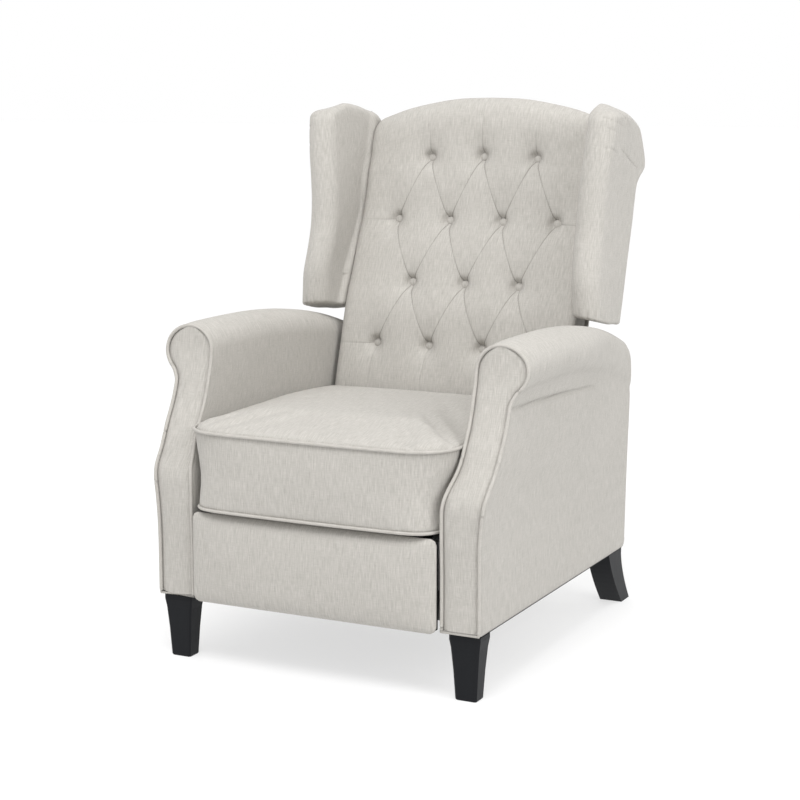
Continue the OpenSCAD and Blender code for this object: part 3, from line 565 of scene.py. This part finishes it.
# %% Sections of an arm
ARM_LOW, ARM_REAR, ARM_TOP = -386.0, 352.0, 604.0
ARM_FACE = ARM_LOW + 100
INNER, SIDE, SKIRT = 244.5, 319.5, 117.0
ROLL_R, ROLL_OUT, STEP = 47.0, 42.0, 16.5
ROLL_X = INNER + STEP + ROLL_R


def arm_face(z):
    return curve([(z, ARM_LOW + y) for z, y in (
        (110, 0), (210, 0), (300, -2), (345, 2), (385, 30), (420, 50), (461, 73), (505, 89),
        (545, 99), (610, 103))], z + 602 - ARM_TOP)


def arm_tail(z):
    return curve([(z, ARM_REAR - y) for z, y in (
        (110, 18), (300, 8), (430, 3), (475, 5), (508, 12), (536, 30))], z)


def arm_line(y):
    return ARM_TOP + curve([(-295, -5), (-255, -1), (-90, 0), (12, -5), (89, -13), (152, -22),
                            (224, -37), (310, -61), (352, -76)], y)


def arm_inner(z):
    return INNER + STEP * ease((z - 325) / 90)


def arm_section(y, count=280):
    """Outline of the arm at a place along it, as (x, z), from the outer lower edge
    over the roll to the inner one."""
    fade = curve([(-290, 1), (0, 1), (107, 0.72), (180, 0.45), (352, 0.08)], y)
    zc = arm_line(y) - ROLL_R
    neck = zc - 54
    power = 2 / (2 + 1.3 * (1 - fade))
    out = SIDE - ROLL_X + ROLL_OUT * fade

    def roll(reach, low, points):
        return [(ROLL_X + reach * bent(np.cos(a), power), zc + ROLL_R * bent(np.sin(a), power))
                for a in np.radians(np.linspace(low, 90, points))]

    outer = [(SIDE - 4, SKIRT)]
    outer += [(SIDE - fade + 15 * fade * ease((z - 250) / 190), z)
              for z in np.linspace(SKIRT + 8, neck, 24)]
    outer += roll(out, -50, 36)
    inner = [(arm_inner(z), z) for z in np.linspace(SKIRT, zc, 30)] + roll(-ROLL_R, 4, 24)
    return relax(halves(outer, inner, count // 2), 2, closed=False)


print("section at the front:", arm_section(ARM_FACE).max(axis=0).round(1))

# %% Arm covers
def arm_cover(side):
    front = arm_section(ARM_FACE)
    centre = middle_line(front)

    def front_ring(d, t, push):
        flat = mix(inset(front, d), centre, t)
        return [(x, arm_face(z) + push, z) for x, z in flat]

    # The front panel swells from its middle line, and a groove takes the piping
    rings = [front_ring(5.5, t, -4.5 * np.sin(min(1, t * 2.2) * pi / 2) + 0.5)
             for t in (1.0, 0.85, 0.65, 0.45, 0.25, 0.12, 0.05)]
    caps = len(rings)
    rings += [front_ring(d, 0, push)
              for d, push in ((5.0, 1.6), (3.6, 1.2), (1.6, 0.6), (0.3, 2.6))]
    for s in np.concatenate([[0.012, 0.03], np.linspace(0.06, 0.955, 44)]):
        loop = arm_section(mix(ARM_FACE, ARM_REAR, s))
        rings.append([(x, mix(arm_face(z), arm_tail(z), s), z) for x, z in loop])
    # The rear end is rounded and closed on its middle line
    back = arm_section(ARM_REAR)
    for turn in np.radians(np.linspace(12, 90, 7)):
        loop = inset(back, 16 * (1 - np.cos(turn)))
        rings.append([(x, mix(arm_face(z), arm_tail(z), 0.97) + 14 * np.sin(turn), z)
                      for x, z in loop])
    last = rings[-1]
    flat = np.array([(x, z) for x, y, z in last])
    for t in (0.35, 0.7, 1.0):
        closing = mix(flat, middle_line(flat), t)
        rings.append([(x, p[1] + 1.5 * t, z) for (x, z), p in zip(closing, last)])
    rings = np.array(rings)
    rings[:, :, 0] *= side
    bm = bmesh.new()
    lay_cloth(bm, rings, (caps, 3, "xz"), turned=True)
    return front, bm


def arm_seam(front):
    """The line that the piping follows round the front panel."""
    loop = inset(front, 2.4)
    return np.array([(x, arm_face(z) - 2.2, z) for x, z in loop])


# The cloth is stapled under the roll, which leaves a crease that fades to the rear;
# shade is painted along the crease
UNDER_ROLL = [(334, -400, 494), (334, -290, 493), (334, -176, 491), (334, -82, 488),
              (331, 55, 480), (328, 120, 476)]
for word, side in SIDES:
    front, bm = arm_cover(side)
    cover = make_piece(f"arm_cover_{word}", bm)
    crease(cover, mirrored([UNDER_ROLL], side), 6.0, 6.0, 0.8)
    dress(cover, "base", f"arm_{word}", pad=0.85)
    path = arm_seam(front) * (side, 1, 1)
    cord = piping(f"arm_welt_{word}", path, 3.2)
    dress(cord, "base", f"arm_piping_{word}", slot="welt")

# %% [markdown]
# ## The tufted back
#
# Deep buttons pull the cover into the padding on a diamond plan. The spare cloth
# between them folds into pleats, which are deep beside a button and hardly more
# than a line half way to the next. Seen from one side they look like arcs, because
# their middles stand nearer to the eye. Straight pleats run from the top row over
# the crest, sideways to the wings, and down behind the seat. Shade is painted along
# each pleat as a thin dark line. The sheet's rows and columns are spaced so that
# every pleat passes through crossings of the grid: then a fold one thread wide, and
# its painted shade, stay sharp on a coarse mesh.

# %% The back's own shape
BACK_HALF, BACK_LOW_HALF, PITCH, LEAN = 252.0, 240.0, 116.5, radians(17.1)
BUTTON_ROWS = (516, 638, 761, 890)
PIN_BACK = np.array([165.0, 262.0])
BUTTONS = [(k * PITCH, z) for i, z in enumerate(BUTTON_ROWS)
           for k in ((-1.5, -0.5, 0.5, 1.5) if i % 2 == 0 else (-1, 0, 1))]


def back_face(z):
    return curve([(290, 116), (424, 148), (522, 176), (597, 199), (657, 226), (719, 253),
                  (781, 281), (850, 301), (900, 312), (935, 318)], z)


def rear_face(z):
    front = PIN_BACK - 8 * np.array([np.cos(LEAN), -np.sin(LEAN)])
    return front[0] + np.tan(LEAN) * (z - front[1])


def waist(z):
    """The back is narrower where the arms' lower parts stand closer together."""
    return mix(BACK_LOW_HALF / BACK_HALF, 1.0, np.clip((np.asarray(z, float) - 386) / 29, 0, 1))


def lifted(z, x):
    """The crest falls towards the sides, and the cover below it follows less and less."""
    drop = curve([(0, 0), (65, -2), (112, -8), (180, -22), (238, -41), (250, -45)], np.abs(x))
    return z + drop * np.clip((z - 860) / 100, 0, 1)


# Pleats as start, end and strength: from button to button, then over the crest,
# to the wings and down behind the seat
PLEATS = [(a, b, 1.0) for a in BUTTONS for b in BUTTONS
          if 0 < b[1] - a[1] < 140 and abs(abs(b[0] - a[0]) - PITCH / 2) < 1]
PLEATS += [((x, 890), (x, top), 0.8) for x, top in ((-PITCH, 965), (0, 1000), (PITCH, 985))]
PLEATS += [((s * 1.5 * PITCH, z), (s * 262, z), 0.75) for s in (-1, 1) for z in (761, 516)]
PLEATS += [((k * PITCH, 516), (k * PITCH, 396), 0.6) for k in (-1.5, -0.5, 0.5, 1.5)]
print("buttons:", len(BUTTONS), "pleats:", len(PLEATS))

# %% The relief of the tufting
STEPS = 28
COLUMN = PITCH / 2 / STEPS
DIMPLE, DIMPLE_R = 13.0, 12.5
FAR = 999.0


def tufting(x, z):
    """Depth of the relief in millimetres, and the shade painted along its folds from 0 to 1."""
    reach, near = np.full(x.shape, FAR), np.full(x.shape, FAR)
    for bx, bz in BUTTONS:
        up = np.where(z > bz, 0.7, 1.0)
        reach = np.minimum(reach, np.hypot(x - bx, (z - bz) * up))
        near = np.minimum(near, np.hypot(x - bx, z - bz))
    well = DIMPLE / (1 + (near / DIMPLE_R) ** 5)
    funnel = DIMPLE * np.exp(-(reach / 29) ** 1.6)
    valley, fold, dark = np.zeros_like(x), np.zeros_like(x), np.zeros_like(x)
    for (ax, az), (bx, bz), strength in PLEATS:
        run = np.hypot(bx - ax, bz - az)
        t = np.clip(((x - ax) * (bx - ax) + (z - az) * (bz - az)) / run**2, 0, 1)
        off = ((x - ax) * (bz - az) - (z - az) * (bx - ax)) / run
        d = np.hypot(x - ax - t * (bx - ax), z - az - t * (bz - az))
        if strength == 1:
            ends, deep_fade, pleat_shade_fade = np.abs(2 * t - 1), 1, 1
        else:
            ends = np.clip(1 - t, 0, 1)
            deep_fade, pleat_shade_fade = (np.clip(far - t, 0, 1) ** 0.5 for far in (1.15, 1.2))
        deep = strength * (0.3 + 0.7 * ends**2) * deep_fade
        valley = np.maximum(valley, 3.4 * deep * np.exp(-(d / 14) ** 2))
        fold = np.maximum(fold, 2.4 * deep * np.exp(-d / np.where(off > 0, 2.6, 1.2)))
        # Painted shade along the pleat's line
        pleat_shade = strength * (0.62 + 0.38 * ends) * pleat_shade_fade
        dark = np.maximum(dark, pleat_shade * np.clip(1 - d / COLUMN, 0, 1))
    # The painted shade fades out close to each button
    return well + np.hypot(funnel, valley) + fold, dark * np.clip(near / 12, 0, 1)


FACE_TOP = 936
crest = np.array([(318, 938), (322, 962), (331, 988), (348, 1005), (369, 1010), (391, 1001),
                  (409, 982), (419, 960), (415, 938), (400, 925), (381, 917), (367, 911)], float)
reach = int(BACK_HALF / COLUMN)
rim = BACK_HALF - np.array([0, 0.15, 0.6])
across = np.concatenate([-rim, np.arange(1 - reach, reach) * COLUMN, rim[::-1]])
row_sets = [np.linspace(300, BUTTON_ROWS[0], 44)]
row_sets += [np.linspace(low, high, STEPS + 1)[1:]
             for low, high in zip(BUTTON_ROWS, BUTTON_ROWS[1:])]
row_sets.append(np.linspace(BUTTON_ROWS[3], FACE_TOP, 12)[1:])
# One more row close to each side of the level pleats
row_sets += [[BUTTON_ROWS[i] - 1.5, BUTTON_ROWS[i] + 1.5] for i in (0, 2)]
face_rows = np.sort(np.concatenate(row_sets))
roll = relax(even(crest, 46, closed=False), 3, closed=False)
print("grid:", len(across), "columns,", len(face_rows), "rows on the face")

# %% Lay the back's cover
def shoulder(x, depth):
    """How far the cover turns in at the back's sides."""
    edge = np.clip((BACK_HALF - np.abs(x)) / 18, 0, 1)
    return depth * (1 - np.sqrt(edge * (2 - edge)))


X, Z = np.meshgrid(across, face_rows)
relief, fold_shading = tufting(X, Z)
depth = back_face(Z) + relief + shoulder(X, 10)
front_sheet = np.stack([X * waist(Z), depth, lifted(Z, X)], axis=2)
# The crest: the pleats run on over it, and fade out towards the rear
X, Y = np.meshgrid(across, roll[:, 0])
Z = lifted(np.broadcast_to(roll[:, 1:], X.shape), X)
steps_up = np.linalg.norm(np.diff(roll, axis=0), axis=1)
run_up = FACE_TOP + np.concatenate([[0], np.cumsum(steps_up)])
relief, top_fold_shading = tufting(X, np.broadcast_to(run_up[:, None], X.shape))
relief *= np.clip(1 - np.arange(len(roll)) / 18, 0, 1)[:, None]
crest_sheet = np.stack([X, Y + relief, Z - 0.4 * relief], axis=2)
CREST_Y, CREST_Z = 372.0, 965.0
pull = np.stack([0 * X, CREST_Y - crest_sheet[:, :, 1],
                 lifted(CREST_Z, X) - crest_sheet[:, :, 2]], axis=2)
pull /= np.linalg.norm(pull, axis=2, keepdims=True)
crest_sheet += pull * shoulder(X, 8)[:, :, None]
# The rear is plain cloth, and the last row meets the first one
rear_sheet = np.stack([
    np.stack([across * waist(z), rear_face(lifted(z, across)), lifted(z, across)], axis=1)
    for z in (892, 860, 780, 700, 600, 500, 415, 386, 304)])
sheet = np.concatenate([front_sheet, crest_sheet[1:], rear_sheet, front_sheet[:1]])
plain = np.zeros((len(rear_sheet) + 1, len(across)))
# Painted fold shade for each crossing; none on the plain rear
strength = np.concatenate([fold_shading, top_fold_shading[1:], plain])
print("sheet:", sheet.shape[:2])

# %% Sew the back's cover shut
bm = bmesh.new()
# This layer holds the painted fold shade of each crossing
dark = bm.verts.layers.float.new("seam")
for v, pleat_shade in zip(lay_cloth(bm, sheet, wrap=False), strength.ravel()):
    v[dark] = pleat_shade
# A fold that crosses a face from corner to corner becomes an edge
for face in bm.faces[:]:
    shaded_verts = [v for v in face.verts if v[dark] > 0.2]
    if len(shaded_verts) == 2 and not any(set(e.verts) == set(shaded_verts) for e in face.edges):
        bmesh.utils.face_split(face, *shaded_verts)
bmesh.ops.remove_doubles(bm, verts=bm.verts, dist=WELD)
bmesh.ops.holes_fill(bm, edges=[e for e in bm.edges if e.is_boundary], sides=0)
back_cover = make_piece("back_cover", bm)
dress(back_cover, "back", "inside_back", pad=0.8)

# %% [markdown]
# ## Covered buttons
#
# Each button is a shallow dome of tin with a disc of the same cloth pressed over
# it. A sphere is flattened for the dome, and its lower half is tucked under. It
# sits near the bottom of its dimple and faces out square to the back's lean.

# %% Buttons
BUTTON_R, BUTTON_FLAT, BUTTON_PROUD = 8.6, 0.52, 2.6
bm = bmesh.new()
uv = bm.loops.layers.uv.new("cloth")
out = Vector((0, -np.cos(LEAN), np.sin(LEAN)))
turned = out.to_track_quat("Z", "Y").to_matrix().to_4x4()
for bx, bz in BUTTONS:
    made = bmesh.ops.create_uvsphere(bm, u_segments=32, v_segments=16, radius=BUTTON_R * MM)
    ball = made["verts"]
    bmesh.ops.scale(bm, vec=(1, 1, BUTTON_FLAT), verts=ball)
    depth = float(tufting(np.array([bx]), np.array([bz]))[0][0]) - BUTTON_PROUD
    seat = Vector((bx, float(back_face(bz)) + depth, float(lifted(bz, bx)))) * MM
    for face in {f for v in ball for f in v.link_faces}:
        for loop in face.loops:
            loop[uv].uv = (loop.vert.co.x + bx * MM, loop.vert.co.y + bz * MM)
    bmesh.ops.transform(bm, matrix=turned, verts=ball)
    bmesh.ops.translate(bm, vec=seat, verts=ball)
buttons = make_piece("covered_buttons", bm)
dress(buttons, "back", "back_buttons")

# %% [markdown]
# ## The wings
#
# A wing is a board padded to a thick round nose at the front, thinner towards the
# rear. Its cloth is pulled round the nose, gathered underneath, and folded into
# short pleats where the top curves back. The cover is a loft of level sections,
# each with its nose, its rear edge and its seam to the back, all read from curves
# over the height. The pleats and gathers are pressed in afterwards, with shade
# painted along them.

# %% Sections of a wing
WING_R, WING_IN = 30.0, BACK_HALF + 0.5
WING_LOW, WING_HIGH = 575, 985


def nose(z):
    """Where the middle of the rounded front edge lies, as (x, y)."""
    return np.array([
        curve([(570, 294), (650, 291), (700, 288), (750, 287), (800, 288), (850, 291), (900, 296),
               (950, 300), (990, 302)], z),
        curve([(570, 160), (610, 160), (650, 161), (700, 172), (750, 185), (800, 192), (850, 195),
               (900, 199), (950, 206), (990, 214)], z)])


def wing_tail(z):
    return curve([(560, 274), (622, 295), (699, 318), (775, 342), (831, 357), (858, 366),
                  (878, 382), (897, 402), (914, 413), (932, 410), (955, 396), (985, 372)], z)


def wing_seam(z):
    return curve([(570, 182), (596, 190), (659, 221), (718, 257), (778, 286), (840, 298),
                  (901, 318), (985, 336)], z)


def wing_floor(x, y):
    line = curve([(120, 600), (163, 592), (205, 584), (240, 580), (285, 573), (420, 560)], y)
    return line + 0.15 * (INNER + 40 - x)


def wing_roof(x, y):
    ridge = 16 * np.clip((SIDE - 1.5 - x) / 40, 0, 1) * np.clip((y - 190) / 60, 0, 1)
    line = curve([(160, 962), (190, 980), (248, 983), (312, 975), (369, 957), (408, 935),
                  (425, 905)], y)
    return line + ridge


def wing_section(z, count=240):
    """Outline of the wing at a height, as (x, y), from the nose round the outer side
    to the rear and back along the inner side."""
    (cx, cy), y1, y2 = nose(z), wing_seam(z), wing_tail(z)
    turn = np.radians(np.linspace(2, 88, 16))
    outer = [(cx + WING_R * np.sin(a), cy - WING_R * np.cos(a)) for a in turn]
    outer += [(cx + WING_R + 2, mix(cy, y2, 0.25)), (mix(cx + WING_R, 322, 0.5), mix(cy, y2, 0.5)),
              (321, mix(cy, y2, 0.75)), (319, y2 - 12), (306, y2)]
    inner = [(cx - WING_R * np.sin(a), cy - WING_R * np.cos(a)) for a in turn]
    inner += [(WING_IN + 9, y1 + (4 if z < 640 else -2)), (WING_IN, y1 + 12),
              (WING_IN, mix(y1, y2, 0.5)), (WING_IN, y2 - 12), (WING_IN + 8, y2 - 2)]
    outer, inner = (even(np.array(side), count // 2, closed=False) for side in (outer, inner))
    return relax(np.vstack([outer, inner[::-1]]), 6)


def wing_ring(t, d, shut=0.0):
    loop = inset(wing_section(mix(WING_LOW, WING_HIGH, t)), d)
    loop = mix(loop, middle_line(loop), shut)
    return np.array([(x, y, mix(wing_floor(x, y), wing_roof(x, y), t)) for x, y in loop])


level = wing_section(800)
print("wing section:", level.min(axis=0).round(1), level.max(axis=0).round(1))

# %% Wing covers
def wing_cover(side):
    # How far the rounded ends go in, in millimetres, and up, as a share of the height
    low_in, low_up, top_in, top_down = 9, 0.016, 18, 0.036
    rings = [wing_ring(0, low_in, s) for s in (1.0, 0.7, 0.35)]
    caps = len(rings)
    for turn in np.radians(np.linspace(0, 80, 7)):
        rings.append(wing_ring(low_up * (1 - np.cos(turn)), low_in * (1 - np.sin(turn))))
    rings += [wing_ring(t, 0) for t in np.linspace(0.02, 0.955, 170)]
    for turn in np.radians(np.linspace(10, 90, 8)):
        rings.append(wing_ring(1 - top_down * (1 - np.sin(turn)), top_in * (1 - np.cos(turn))))
    rings += [wing_ring(1, top_in, s) for s in (0.35, 0.7, 1.0)]
    rings = np.array(rings)
    rings[:, :, 0] *= side
    bm = bmesh.new()
    lay_cloth(bm, rings, (caps, 3, "xy"))
    return bm


# Folded pleats where the top turns back, and gathers under the nose; shade is painted along both
WING_FOLDS = [
    [(302, 184, 974), (311, 187, 972), (322, 190, 969), (329, 202, 963), (332, 241, 953)],
    [(312, 182, 955), (320, 185, 952), (325, 192, 948), (329, 206, 942)],
    [(308, 176, 917), (317, 180, 915), (326, 193, 913), (328, 219, 902)],
    [(322, 216, 983), (327, 226, 980), (332, 240, 972), (331, 264, 960), (329, 276, 952)],
    [(330, 232, 912), (328, 243, 907), (325, 285, 893), (322, 330, 878), (321, 350, 872)],
]
GATHERS = [[(292 + r * np.sin(a), 161 - r * np.cos(a), z)
            for r, z in ((24, 590), (31, 598), (32, 612))]
           for a in np.radians([-75, -42, -12, 20, 48, 78])]
for word, side in SIDES:
    cover = make_piece(f"wing_cover_{word}", wing_cover(side))
    crease(cover, mirrored(WING_FOLDS, side), 2.4, 3.2, 0.72)
    crease(cover, mirrored(GATHERS, side), 2.6, 4.0, 0.45)
    dress(cover, "back", f"wing_{word}", pad=0.85)

# %% [markdown]
# ## The seat cushion
#
# A box cushion has a top and a bottom panel joined by a band, with piping in both
# seams. The filling pushes every panel out between its seams, most in the middle.
# Cloth simulation does this by itself: the form is remeshed evenly, its seams are
# pinned, air pressure is turned on and gravity off, and the result after twenty
# frames is kept.

# %% Inflate a pad
def inflate(obj, pinned, pressure, cap, voxel, frames=20):
    """Blows a closed skin up like a filled cushion, held along its seams. No point
    moves further than the cap. Returns how far the furthest wanted to move."""
    remesh = obj.modifiers.new("even_mesh", "REMESH")
    remesh.mode = "VOXEL"
    remesh.voxel_size = voxel * MM
    depsgraph = bpy.context.evaluated_depsgraph_get()
    mesh = bpy.data.meshes.new_from_object(obj.evaluated_get(depsgraph))
    obj.modifiers.clear()
    obj.data = mesh
    start = coords(mesh)
    group = obj.vertex_groups.new(name="seams")
    for index in np.nonzero(pinned(start / MM))[0]:
        group.add([int(index)], 1.0, "REPLACE")
    cloth = obj.modifiers.new("filling", "CLOTH")
    cloth.settings.quality = 5
    cloth.settings.use_pressure = True
    cloth.settings.uniform_pressure_force = pressure
    cloth.settings.vertex_group_mass = "seams"
    cloth.settings.tension_stiffness = 25
    cloth.settings.compression_stiffness = 25
    cloth.settings.shear_stiffness = 12
    cloth.settings.bending_stiffness = 3
    cloth.settings.effector_weights.gravity = 0
    cloth.collision_settings.use_collision = False
    cloth.point_cache.frame_start = 1
    cloth.point_cache.frame_end = frames
    for step in range(1, frames + 1):
        scene.frame_set(step)
    depsgraph = bpy.context.evaluated_depsgraph_get()
    shift = coords(obj.evaluated_get(depsgraph).to_mesh()) - start
    size = np.linalg.norm(shift, axis=1, keepdims=True)
    obj.modifiers.clear()
    scene.frame_set(1)
    move(obj, start + shift * np.minimum(1, cap * MM / np.maximum(size, 1e-9)))
    return float(size.max() / MM)


def box_cloth(obj):
    """Lays the cloth's UV map flat on each face by the way the face looks."""
    mesh = obj.data
    layer = mesh.uv_layers.get("cloth") or mesh.uv_layers.new(name="cloth")
    normal = np.empty(len(mesh.polygons) * 3)
    mesh.polygons.foreach_get("normal", normal)
    main = np.argmax(np.abs(normal.reshape(-1, 3)), axis=1)
    total = np.empty(len(mesh.polygons), int)
    mesh.polygons.foreach_get("loop_total", total)
    corner = np.empty(len(mesh.loops), int)
    mesh.loops.foreach_get("vertex_index", corner)
    axes = np.array([(1, 2), (0, 2), (0, 1)])[np.repeat(main, total)]
    uv = np.take_along_axis(coords(mesh)[corner], axes, axis=1)
    layer.data.foreach_set("uv", uv.ravel())
    seam_layer(mesh)
    mesh.polygons.foreach_set("use_smooth", np.ones(len(mesh.polygons), bool))


print("inflation", "ready")

# %% The cushion's form
CUSHION_GAP, CUSHION_FRONT, CUSHION_REAR = 4.5, 414.0, 110.0
DECK = 285.0
CUSHION_LOW, CUSHION_H, CROWN = DECK + 3, 140.0, 21.0
CUSHION_HIGH = CUSHION_LOW + CUSHION_H


def cushion_outline(d, z, count=150):
    """The cushion seen from above at a height, drawn in by d all round."""
    w, f, b = arm_inner(z) - CUSHION_GAP - d, -CUSHION_FRONT + d, CUSHION_REAR - d
    r = 50 + 24 * ease((z - 325) / 90)
    sides = np.linspace(b, f + r + 8, 14)
    half = [(w - 1.5 * np.sin(pi * (b - y) / (b - f)), y) for y in sides]
    half += [(w - r + r * np.cos(a), f + r - r * np.sin(a))
             for a in np.radians(np.linspace(0, 90, 14))]
    half += [(x, f - 5 * np.cos(pi / 2 * x / w)) for x in np.linspace(w - r - 10, 0, 9)]
    half = even(np.array(half), count // 2, closed=False)
    return np.vstack([half, (half * (-1, 1))[::-1]])


def on_cushion(p, z):
    """The cushion's rear leans with the back."""
    x, y = p
    return (x, y + 0.2 * (z - DECK) * np.clip((y + 20) / 100, 0, 1), z)


def crown(p, h):
    """The top's rise, which is greatest over the middle and dies away at the rear."""
    return h * max(0, 1 - max(0, (p[1] + 110) / 235) ** 2) ** 0.8


def cushion_ring(d, z, h, shut=0.0):
    loop = cushion_outline(d, z)
    loop = mix(loop, middle_line(loop), shut)
    return [on_cushion(p, z + crown(p, h)) for p in loop]


rings = [cushion_ring(9, DECK + 0.8, 0, s) for s in (1.0, 0.75, 0.5, 0.25)]
rings += [cushion_ring(9, DECK + 0.8, 0), cushion_ring(1.5, CUSHION_LOW + 1.5, 0)]
rings += [cushion_ring(0.5 + 3 * np.sin(pi * t), mix(CUSHION_LOW, CUSHION_HIGH, t), 0)
          for t in np.linspace(0.04, 0.97, 18)]
rings += [cushion_ring(d, CUSHION_HIGH, CROWN * c)
          for d, c in ((4, 0.24), (8, 0.48), (14, 0.7), (22, 0.86), (34, 0.95))]
rings += [cushion_ring(34, CUSHION_HIGH, CROWN * min(1, 0.95 + s), s)
          for s in (0.1, 0.2, 0.35, 0.5, 0.65, 0.8, 0.9, 1.0)]
bm = bmesh.new()
lay_cloth(bm, rings, (4, 9, "xy"))
cushion = make_piece("cushion_cover", bm)


def cushion_seams(co):
    """The points that stay still: near both piped seams, underneath and at the rear."""
    x, y, z = co.T
    edge = (np.abs(x) > arm_inner(CUSHION_HIGH) - 12.5) | (y < -CUSHION_FRONT + 8)
    high = (np.abs(z - CUSHION_HIGH) < 4) & edge
    return high | (z < CUSHION_LOW + 5) | (y > CUSHION_REAR + 2)


swell = inflate(cushion, cushion_seams, pressure=3.2, cap=10, voxel=6)
box_cloth(cushion)
smooth = cushion.modifiers.new("smooth_cloth", "SUBSURF")
smooth.levels = smooth.render_levels = 1
dress(cushion, "seat", "seat_cushion", pad=0.75)
print("cushion swelled", round(swell, 1), "mm")

# %% The cushion's piping
for name, z, d, node in (("cushion_welt_top", CUSHION_HIGH - 0.6, -0.4, "seat_piping_top"),
                         ("cushion_welt_bottom", CUSHION_LOW + 0.9, 1.2, "seat_piping_bottom")):
    path = np.array([on_cushion(p, z) for p in cushion_outline(d, z, 220)])
    dress(piping(name, relax(path, 2), 3.0), "seat", node, slot="welt")

# %% [markdown]
# ## The footrest panel
#
# When the chair is shut, the footrest is the smooth panel under the cushion: a
# board with a layer of foam, the cloth pulled round its edges and stapled behind.
# It is a shallow pad with tightly rounded edges, so it is lofted from the board
# side forwards, and closed on its middle line.

# %% Footrest cover
FOOT_W, FOOT_H, FOOT_LOW = 480.0, 164.0, 116.0
FOOT_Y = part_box("footrest_pad")[1].y / MM
PAD, FOOT_ROUND = 26.0, 11.0


def foot_outline(d, count=160):
    """The panel seen from the front, drawn in by d all round."""
    w, lo, hi, r = FOOT_W / 2 - d, FOOT_LOW + d, FOOT_LOW + FOOT_H - d, max(3.0, 12.0 - d)
    up = [(w, mix(lo + r, hi - r, t)) for t in np.linspace(0.5, 1, 6)]
    up += [(w - r + r * np.cos(a), hi - r + r * np.sin(a))
           for a in np.radians(np.linspace(0, 90, 8))[1:]]
    up += [(x, hi) for x in np.linspace(w - r, 0, 12)[1:]]
    quarter = even(np.array(up), count // 4 + 1, closed=False)
    top = np.vstack([quarter, (quarter * (-1, 1))[::-1][1:]])
    below = top[::-1][1:-1].copy()
    below[:, 1] = lo + hi - below[:, 1]
    return np.vstack([top, below])


def foot_crown(x, z):
    u, v = 2 * x / FOOT_W, 2 * (z - FOOT_LOW) / FOOT_H - 1
    return np.clip(1 - u**4, 0, 1) ** 0.7 * np.clip(1 - v**4, 0, 1) ** 0.5


def foot_ring(d, y, crown_depth, shut=0.0):
    loop = foot_outline(d)
    spine = FOOT_W / 2 - 80
    centre = [(x, FOOT_LOW + FOOT_H / 2) for x in np.clip(loop[:, 0], -spine, spine)]
    loop = mix(loop, np.array(centre), shut)
    return np.array([(x, y - crown_depth * foot_crown(x, z), z) for x, z in loop])


rings = [foot_ring(8, FOOT_Y, 0, s) for s in (1.0, 0.6, 0.3, 0.0)]
rings.append(foot_ring(2, FOOT_Y - 0.2, 0))
rings += [foot_ring(0.4 * (1 - t), FOOT_Y - 1 - PAD * 0.2 * t, 0) for t in (0.3, 1.0)]
for turn in np.radians(np.linspace(15, 90, 7)):
    rings.append(foot_ring(FOOT_ROUND * (1 - np.cos(turn)),
                           FOOT_Y - PAD * (0.22 + 0.13 * np.sin(turn)),
                           PAD * 0.58 * np.sin(turn)))
rings += [foot_ring(FOOT_ROUND, FOOT_Y - PAD * 0.35, PAD * mix(0.58, 0.65, s), s)
          for s in (0.08, 0.16, 0.25, 0.4, 0.55, 0.7, 0.85, 1.0)]
bm = bmesh.new()
lay_cloth(bm, rings, (4, 9, "xz"))
footrest = make_piece("footrest_cover", bm)
box_cloth(footrest)
dress(footrest, "footrest", "footrest_pad", pad=0.8)

# %% [markdown]
# ## Outside back and rear apron
#
# The rear of the chair is closed by two flat upholstered boards. Cloth over a board
# is flat with softly rounded edges, so a cube with bevelled edges says enough. The
# outside back is narrower at its foot, where it stands between the arms.

# %% Rear apron cover
low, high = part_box("rear_apron")
middle, size = (low + high) / 2, high - low
bm = bmesh.new()
bmesh.ops.create_cube(bm, size=1.0)
bmesh.ops.bevel(bm, geom=bm.edges[:], offset=0.012, segments=4, profile=0.5, affect="EDGES",
                material=-1)
bmesh.ops.subdivide_edges(bm, edges=bm.edges[:], cuts=3, use_grid_fill=True)
for v in bm.verts:
    v.co = middle + Vector((v.co.x * size.x, v.co.y * size.y, v.co.z * size.z))
apron = make_piece("apron_cover", bm)
box_cloth(apron)
dress(apron, "base", "rear_apron")

# %% Outside back cover
def back_at(v, w):
    """The place, as (y, z), that lies v behind the back's hinge pins and w up the lean."""
    behind, upwards = (np.cos(LEAN), -np.sin(LEAN)), (np.sin(LEAN), np.cos(LEAN))
    return PIN_BACK + v * np.array(behind) + w * np.array(upwards)


bm = bmesh.new()
bmesh.ops.create_cube(bm, size=1.0)
bmesh.ops.subdivide_edges(bm, edges=bm.edges[:], cuts=7, use_grid_fill=True)
for v in bm.verts:
    x, t, s = v.co.x * 2, v.co.y + 0.5, v.co.z + 0.5
    y, z = back_at(11.0 + 6 * t, mix(32, 622, s))
    v.co = Vector((x * BACK_HALF * float(waist(z)), y, z)) * MM
outside = make_piece("outside_back_cover", bm)
box_cloth(outside)
soft_edge = outside.modifiers.new("soft_edge", "BEVEL")
soft_edge.width, soft_edge.segments = 2.5 * MM, 3
dress(outside, "back", "outside_back")
